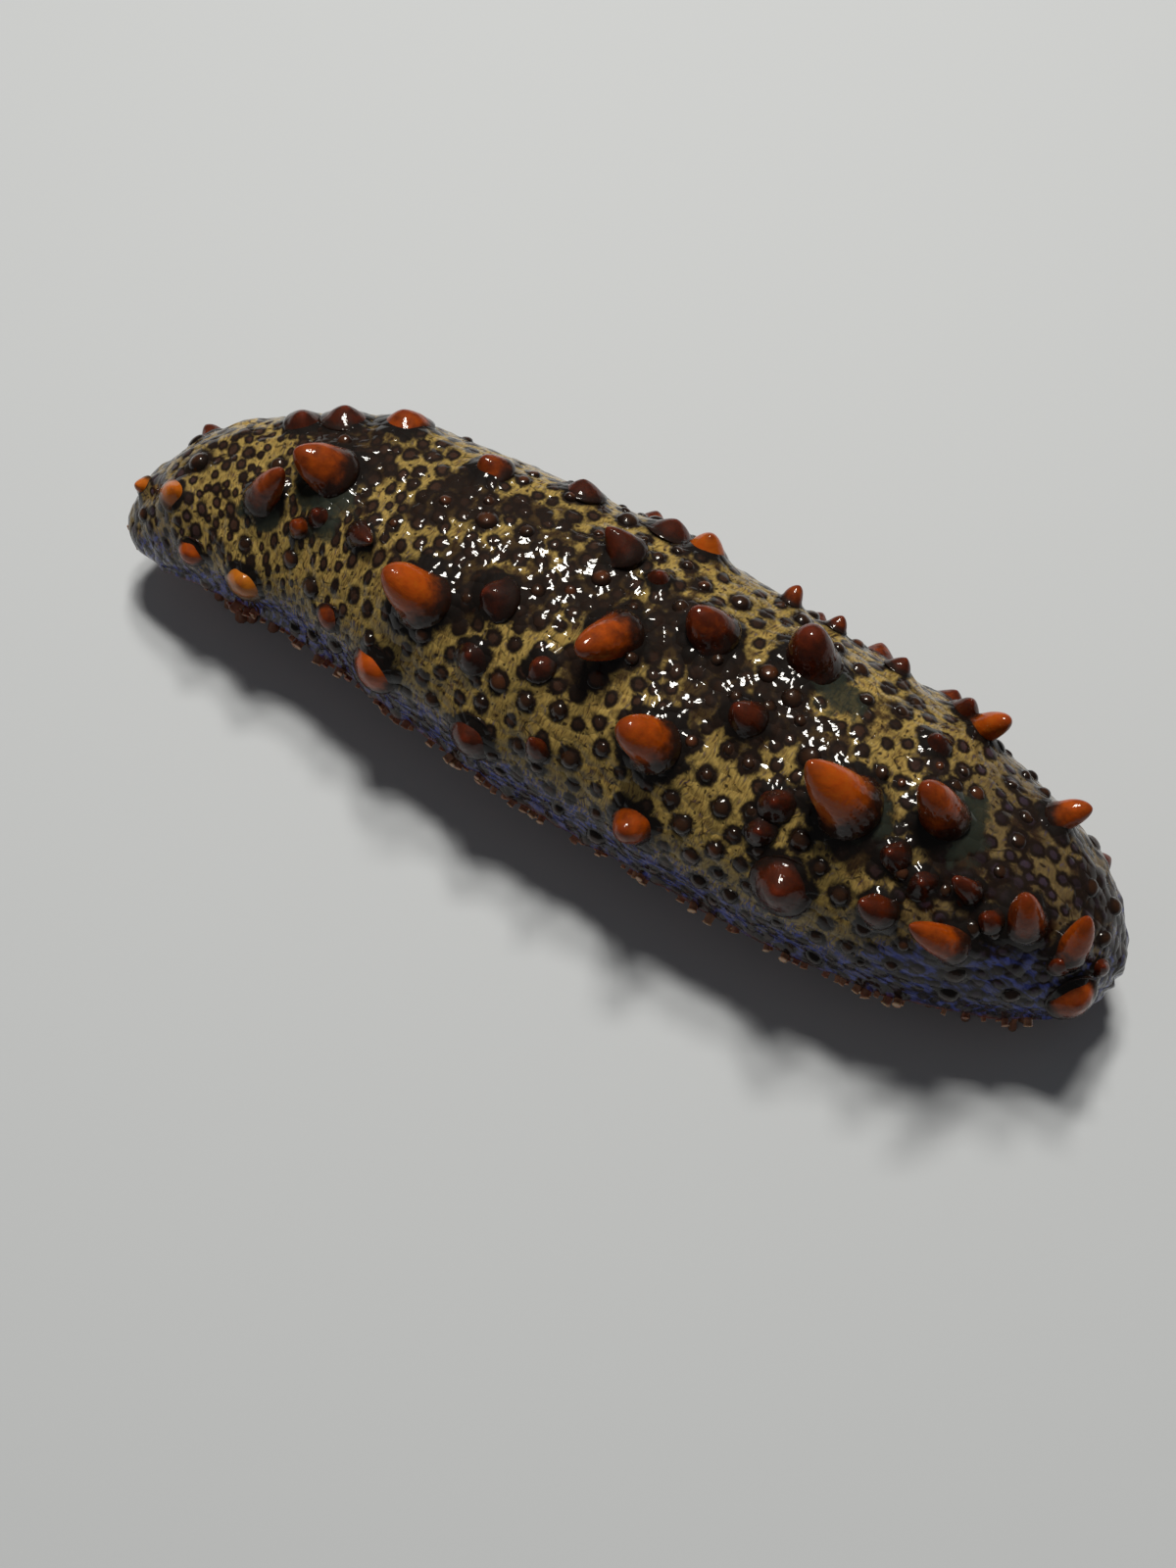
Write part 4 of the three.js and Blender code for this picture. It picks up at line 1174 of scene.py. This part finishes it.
def sole_feet(step):
    """Tube feet of the sole, as pieces x rows x sides x 3: stalks that spread into suckers at z = 0."""
    rng = np.random.default_rng(FOOT["seed"])
    rows = np.arange(*FOOT["ends"], step)
    along, band = np.meshgrid(rows, np.arange(len(FOOT_BANDS)), indexing="ij")
    staggered = (np.arange(len(rows))[:, None] + band) % 2 == 0
    along, band = along[staggered], band[staggered]
    count = len(along)
    down, sideways = FOOT["jitter"]
    along = along + rng.uniform(-down, down, count)
    offset = FOOT_BANDS[band] * np.minimum(1, fullness(along) + FOOT["spare"])
    offset = offset + rng.uniform(-sideways, sideways, count)
    size = rng.uniform(*FOOT["size"], count)
    belly = belly_height(along, offset)
    low = belly < FOOT["reach"]
    along, offset, size, belly = along[low], offset[low], size[low], belly[low]
    _, right, _ = directions(along)
    behind = np.stack([right[:, 1], -right[:, 0], np.zeros(len(right))], -1)
    height, radius = FOOT_ROWS.T
    down = 1 - height
    middle = (centre(along) + right * offset[:, None])[:, None]
    middle = middle + (offset[:, None] * FOOT["splay"] * down)[..., None] * right[:, None]
    astray = rng.uniform(-FOOT["stray"], FOOT["stray"], (len(along), 2))
    middle[..., :2] += astray[:, None] * (down ** 2)[:, None]
    middle[..., 2] = height * (belly + FOOT["buried"])[:, None]
    wide = (size[:, None] * radius)[..., None]
    return rings_round(middle, right[:, None], behind[:, None], wide, FOOT["sides"])


class SEACUCUMBER_OT_tube_feet(bpy.types.Operator):
    """Makes the tube feet of the sole, whose suckers stand on the floor, and the small ones of both flanks"""
    bl_idname = "seacucumber.tube_feet"
    bl_label = "Tube feet"

    def execute(self, context):
        settings = context.scene.sea_cucumber_feet
        material = foot_material(settings)
        feet = sole_feet(settings.step / MM)
        rng = np.random.default_rng(FLANK_FEET["seed"])
        values = {
            "rise": np.linspace(0, 1, len(FOOT_ROWS))[None, :, None],
            "tone": rng.uniform(*FOOT["tones"], len(feet))[:, None, None],
        }
        add_piece("tube_feet", feet, values, material)
        count = FLANK_FEET["count"]
        along = rng.uniform(*FLANK_FEET["along"], count)
        around = np.where(np.arange(count) % 2, 1, -1) * rng.uniform(*FLANK_FEET["around"], count)
        width = rng.uniform(*FLANK_FEET["width"], count)
        rings, rise = on_skin(along, around, width, FLANK_FEET, rng)
        tones = FLANK_FEET["tone"] * rng.uniform(0, 1, count) ** 2
        tones = tones + FLANK_FEET["front_tone"] * smooth(*FLANK_FEET["front"], along)
        values = {"rise": rise, "tone": tones[:, None, None]}
        add_piece("flank_feet", rings, values, material)
        return {"FINISHED"}


# Mouth


# The tentacles stand round on the two radii in turn, astray by a share of a step, in a ring that is flat from
# above. They spread with their height, and their crowns have lobes
TENTACLES = {"count": 20, "seed": 3, "radius": (2.4, 4.1), "width": (1.3, 1.7), "height": (2.0, 2.9),
             "along": 4.4, "astray": 0.3, "flat": 0.8, "spread": 0.2, "sides": 25, "lobes": 5, "lobe": 0.2,
             "crown": (0.4, 0.8)}
# Rows of a tentacle as shares of its height, or millimetres below its root, and of half its width
TENTACLE_HEIGHTS, TENTACLE_RADII = np.transpose([
    (-1.4, 0), (-1.4, 0.62), (0, 0.6), (0.45, 0.6), (0.62, 0.85), (0.8, 1), (0.93, 0.9), (1, 0.55),
    (0.95, 0)])


def tentacle_material():
    """Wet feeding tentacle, drawn in: dark purple-brown stalk with a pale mottled crown."""
    material, tree, place, read = new_material("tentacle_flesh", "rise")
    mottle, normal = unevenness(tree, place, 1500.0, 3.0, 0.5, 0.3)
    height = read["rise"]
    for operation, value in (("ADD", mottle), ("SUBTRACT", 0.5)):
        height = add_node(tree, "Math", {"operation": operation}, {0: height, 1: value}).outputs[0]
    colour = add_node(tree, "ValToRGB", {}, {"Fac": height}, [
        (0.0, linear("#2a1712")), (0.6, linear("#6b4334")), (1.0, linear("#b08b63"))]).outputs["Color"]
    wet_shader(tree, colour, normal, subsurface=0.2)
    return material


class SEACUCUMBER_OT_tentacles(bpy.types.Operator):
    """Makes the drawn-in feeding tentacles that stand round inside the mouth's lip"""
    bl_idname = "seacucumber.tentacles"
    bl_label = "Tentacles"

    def execute(self, context):
        count, heights = TENTACLES["count"], TENTACLE_HEIGHTS
        rng = np.random.default_rng(TENTACLES["seed"])
        root = np.array([TENTACLES["along"]])
        turns = 2 * np.pi * (np.arange(count) + TENTACLES["astray"] * rng.uniform(0, 1, count)) / count
        ring = np.array(TENTACLES["radius"])[np.arange(count) % 2]
        width = rng.uniform(*TENTACLES["width"], count)
        tall = rng.uniform(*TENTACLES["height"], count)
        forward, right, up = (vectors[0] for vectors in directions(root))
        away = np.cos(turns)[:, None] * right + np.sin(turns)[:, None] * up * TENTACLES["flat"]
        spin = np.linspace(0, 2 * np.pi, TENTACLES["sides"], endpoint=False)
        crown = smooth(*TENTACLES["crown"], heights)[:, None]
        lobes = 1 + TENTACLES["lobe"] * np.cos(TENTACLES["lobes"] * spin)[None, :] * crown
        wide = width[:, None, None] / 2 * TENTACLE_RADII[None, :, None] * lobes[None]
        rise = np.where(heights < 0, heights, heights * tall[:, None])
        reach = ring[:, None] + TENTACLES["spread"] * np.maximum(rise, 0)
        middle = centre(root)[0] + away[:, None] * reach[..., None] - rise[..., None] * forward
        beside = np.cross(-forward, unit(away))
        rings = rings_round(middle, unit(away)[:, None], beside[:, None], wide, TENTACLES["sides"])
        values = {"rise": np.clip(heights, 0, 1)[None, :, None]}
        add_piece("mouth_tentacles", rings, values, tentacle_material())
        return {"FINISHED"}


# Floor, light and camera


class StudioSettings(bpy.types.PropertyGroup):
    floor: colour_property("Floor", "Pale studio floor", "#b6babf")
    azimuth: bpy.props.FloatProperty(
        name="Azimuth", description="Of the camera round the body, from the left flank", subtype="ANGLE",
        default=math.radians(34.0))
    elevation: bpy.props.FloatProperty(
        name="Elevation", description="Of the camera above the floor", subtype="ANGLE",
        default=math.radians(65.0))
    distance: bpy.props.FloatProperty(
        name="Distance", description="From the camera to the middle of the body", unit="LENGTH",
        default=450.0 * MM)
    lens: bpy.props.FloatProperty(
        name="Lens", description="Focal length, in the camera's own millimetres", default=47.385)


AIM = Vector((-3.3, -0.5, 25.0)) * MM  # shown a little right of and above the middle of the frame
AIM_RIGHT, AIM_UP = 6.197 * MM, 23.504 * MM  # how far it stands from the camera's axis
FLOOR_HALF = 4.0  # metres
SKY = 0.08
# Lamps by name: azimuth, elevation, distance and size in metres, power, and colour. The three small softboxes
# give glints in clusters
LAMPS = {"soft_fill": (-40, 35, 1.4, 1.2, 0.8, (0.9, 0.94, 1.0))} | {
    f"key_{number}": (azimuth, elevation, 1.3, 0.16, 6.6, (1.0, 0.96, 0.88))
    for number, (azimuth, elevation) in enumerate([(202, 72), (222, 67), (208, 60)])}


def camera_axes(azimuth, elevation):
    """The camera's right, up and back: azimuth 0 looks along +Y, and elevation is above the floor."""
    back = Vector((math.sin(azimuth) * math.cos(elevation), -math.cos(azimuth) * math.cos(elevation),
                   math.sin(elevation)))
    right = Vector((math.cos(azimuth), math.sin(azimuth), 0))
    return right, back.cross(right), back


def put(name, data, azimuth, elevation, distance, right_of_aim=0.0, above_aim=0.0):
    """Adds a lamp or a camera that stands off in a direction and looks back along it. Returns its object."""
    obj = bpy.data.objects.new(name, data)
    right, up, back = camera_axes(azimuth, elevation)
    place = AIM + back * distance - right * right_of_aim - up * above_aim
    obj.matrix_world = Matrix.Translation(place) @ Matrix((right, up, back)).transposed().to_4x4()
    bpy.context.scene.collection.objects.link(obj)
    return obj


def floor_material(settings):
    """Matt painted studio board, with a faint grain."""
    material, tree, place, _ = new_material("matt_studio_floor")
    _, normal = unevenness(tree, place, 60.0, 4.0, 0.08, 0.3)
    shader = add_node(tree, "BsdfPrincipled", {}, {
        "Base Color": settings.floor, "Roughness": 0.75, "Normal": normal})
    add_node(tree, "OutputMaterial", {}, {"Surface": shader.outputs["BSDF"]})
    return material


class SEACUCUMBER_OT_studio(bpy.types.Operator):
    """Makes the pale floor, the soft lights and the camera"""
    bl_idname = "seacucumber.studio"
    bl_label = "Studio"

    def execute(self, context):
        scene = context.scene
        settings = scene.sea_cucumber_studio
        mesh = bpy.data.meshes.new("floor")
        corners = [(x * FLOOR_HALF, y * FLOOR_HALF, 0) for x, y in ((-1, -1), (1, -1), (1, 1), (-1, 1))]
        mesh.from_pydata(corners, [], [(0, 1, 2, 3)])
        mesh.materials.append(floor_material(settings))
        floor = bpy.data.objects.new("floor", mesh)
        scene.collection.objects.link(floor)

        scene.world = bpy.data.worlds.new("studio_air")
        scene.world.use_nodes = True
        sky = scene.world.node_tree.nodes["Background"].inputs
        sky["Color"].default_value = (1, 1, 1, 1)
        sky["Strength"].default_value = SKY
        for name, (azimuth, elevation, distance, size, power, colour) in LAMPS.items():
            light = bpy.data.lights.new(name, "AREA")
            light.size = size
            light.energy = power
            light.color = colour
            lamp = put(name, light, math.radians(azimuth), math.radians(elevation), distance)
            lamp.visible_glossy = name != "soft_fill"

        data = bpy.data.cameras.new("camera")
        data.lens = settings.lens
        data.clip_start = 10 * MM
        scene.camera = put("camera", data, settings.azimuth, settings.elevation, settings.distance,
                           AIM_RIGHT, AIM_UP)
        scene.view_settings.view_transform = "Standard"
        return {"FINISHED"}


SETTINGS = {
    "sea_cucumber_skin": SkinSettings,
    "sea_cucumber_papillae": PapillaSettings,
    "sea_cucumber_feet": FeetSettings,
    "sea_cucumber_studio": StudioSettings,
}
OPERATORS = (
    SEACUCUMBER_OT_skin,
    SEACUCUMBER_OT_papillae,
    SEACUCUMBER_OT_warts,
    SEACUCUMBER_OT_tube_feet,
    SEACUCUMBER_OT_tentacles,
    SEACUCUMBER_OT_studio,
)


class SEACUCUMBER_PT_panel(bpy.types.Panel):
    """Lists the pieces in the order in which they are made"""
    bl_idname = "SEACUCUMBER_PT_panel"
    bl_label = "Sea Cucumber"
    bl_space_type = "VIEW_3D"
    bl_region_type = "UI"
    bl_category = "Sea Cucumber"

    def draw(self, context):
        for operator in OPERATORS:
            self.layout.operator(operator.bl_idname)


def register():
    for name, group in SETTINGS.items():
        bpy.utils.register_class(group)
        setattr(bpy.types.Scene, name, bpy.props.PointerProperty(type=group))
    for made in (*OPERATORS, SEACUCUMBER_PT_panel):
        bpy.utils.register_class(made)


def unregister():
    for made in reversed((*OPERATORS, SEACUCUMBER_PT_panel)):
        bpy.utils.unregister_class(made)
    for name, group in SETTINGS.items():
        delattr(bpy.types.Scene, name)
        bpy.utils.unregister_class(group)


def main():
    register()
    bpy.ops.seacucumber.skin()
    bpy.ops.seacucumber.papillae()
    bpy.ops.seacucumber.warts()
    bpy.ops.seacucumber.tube_feet()
    bpy.ops.seacucumber.tentacles()
    bpy.ops.seacucumber.studio()


if __name__ == "__main__":
    main()
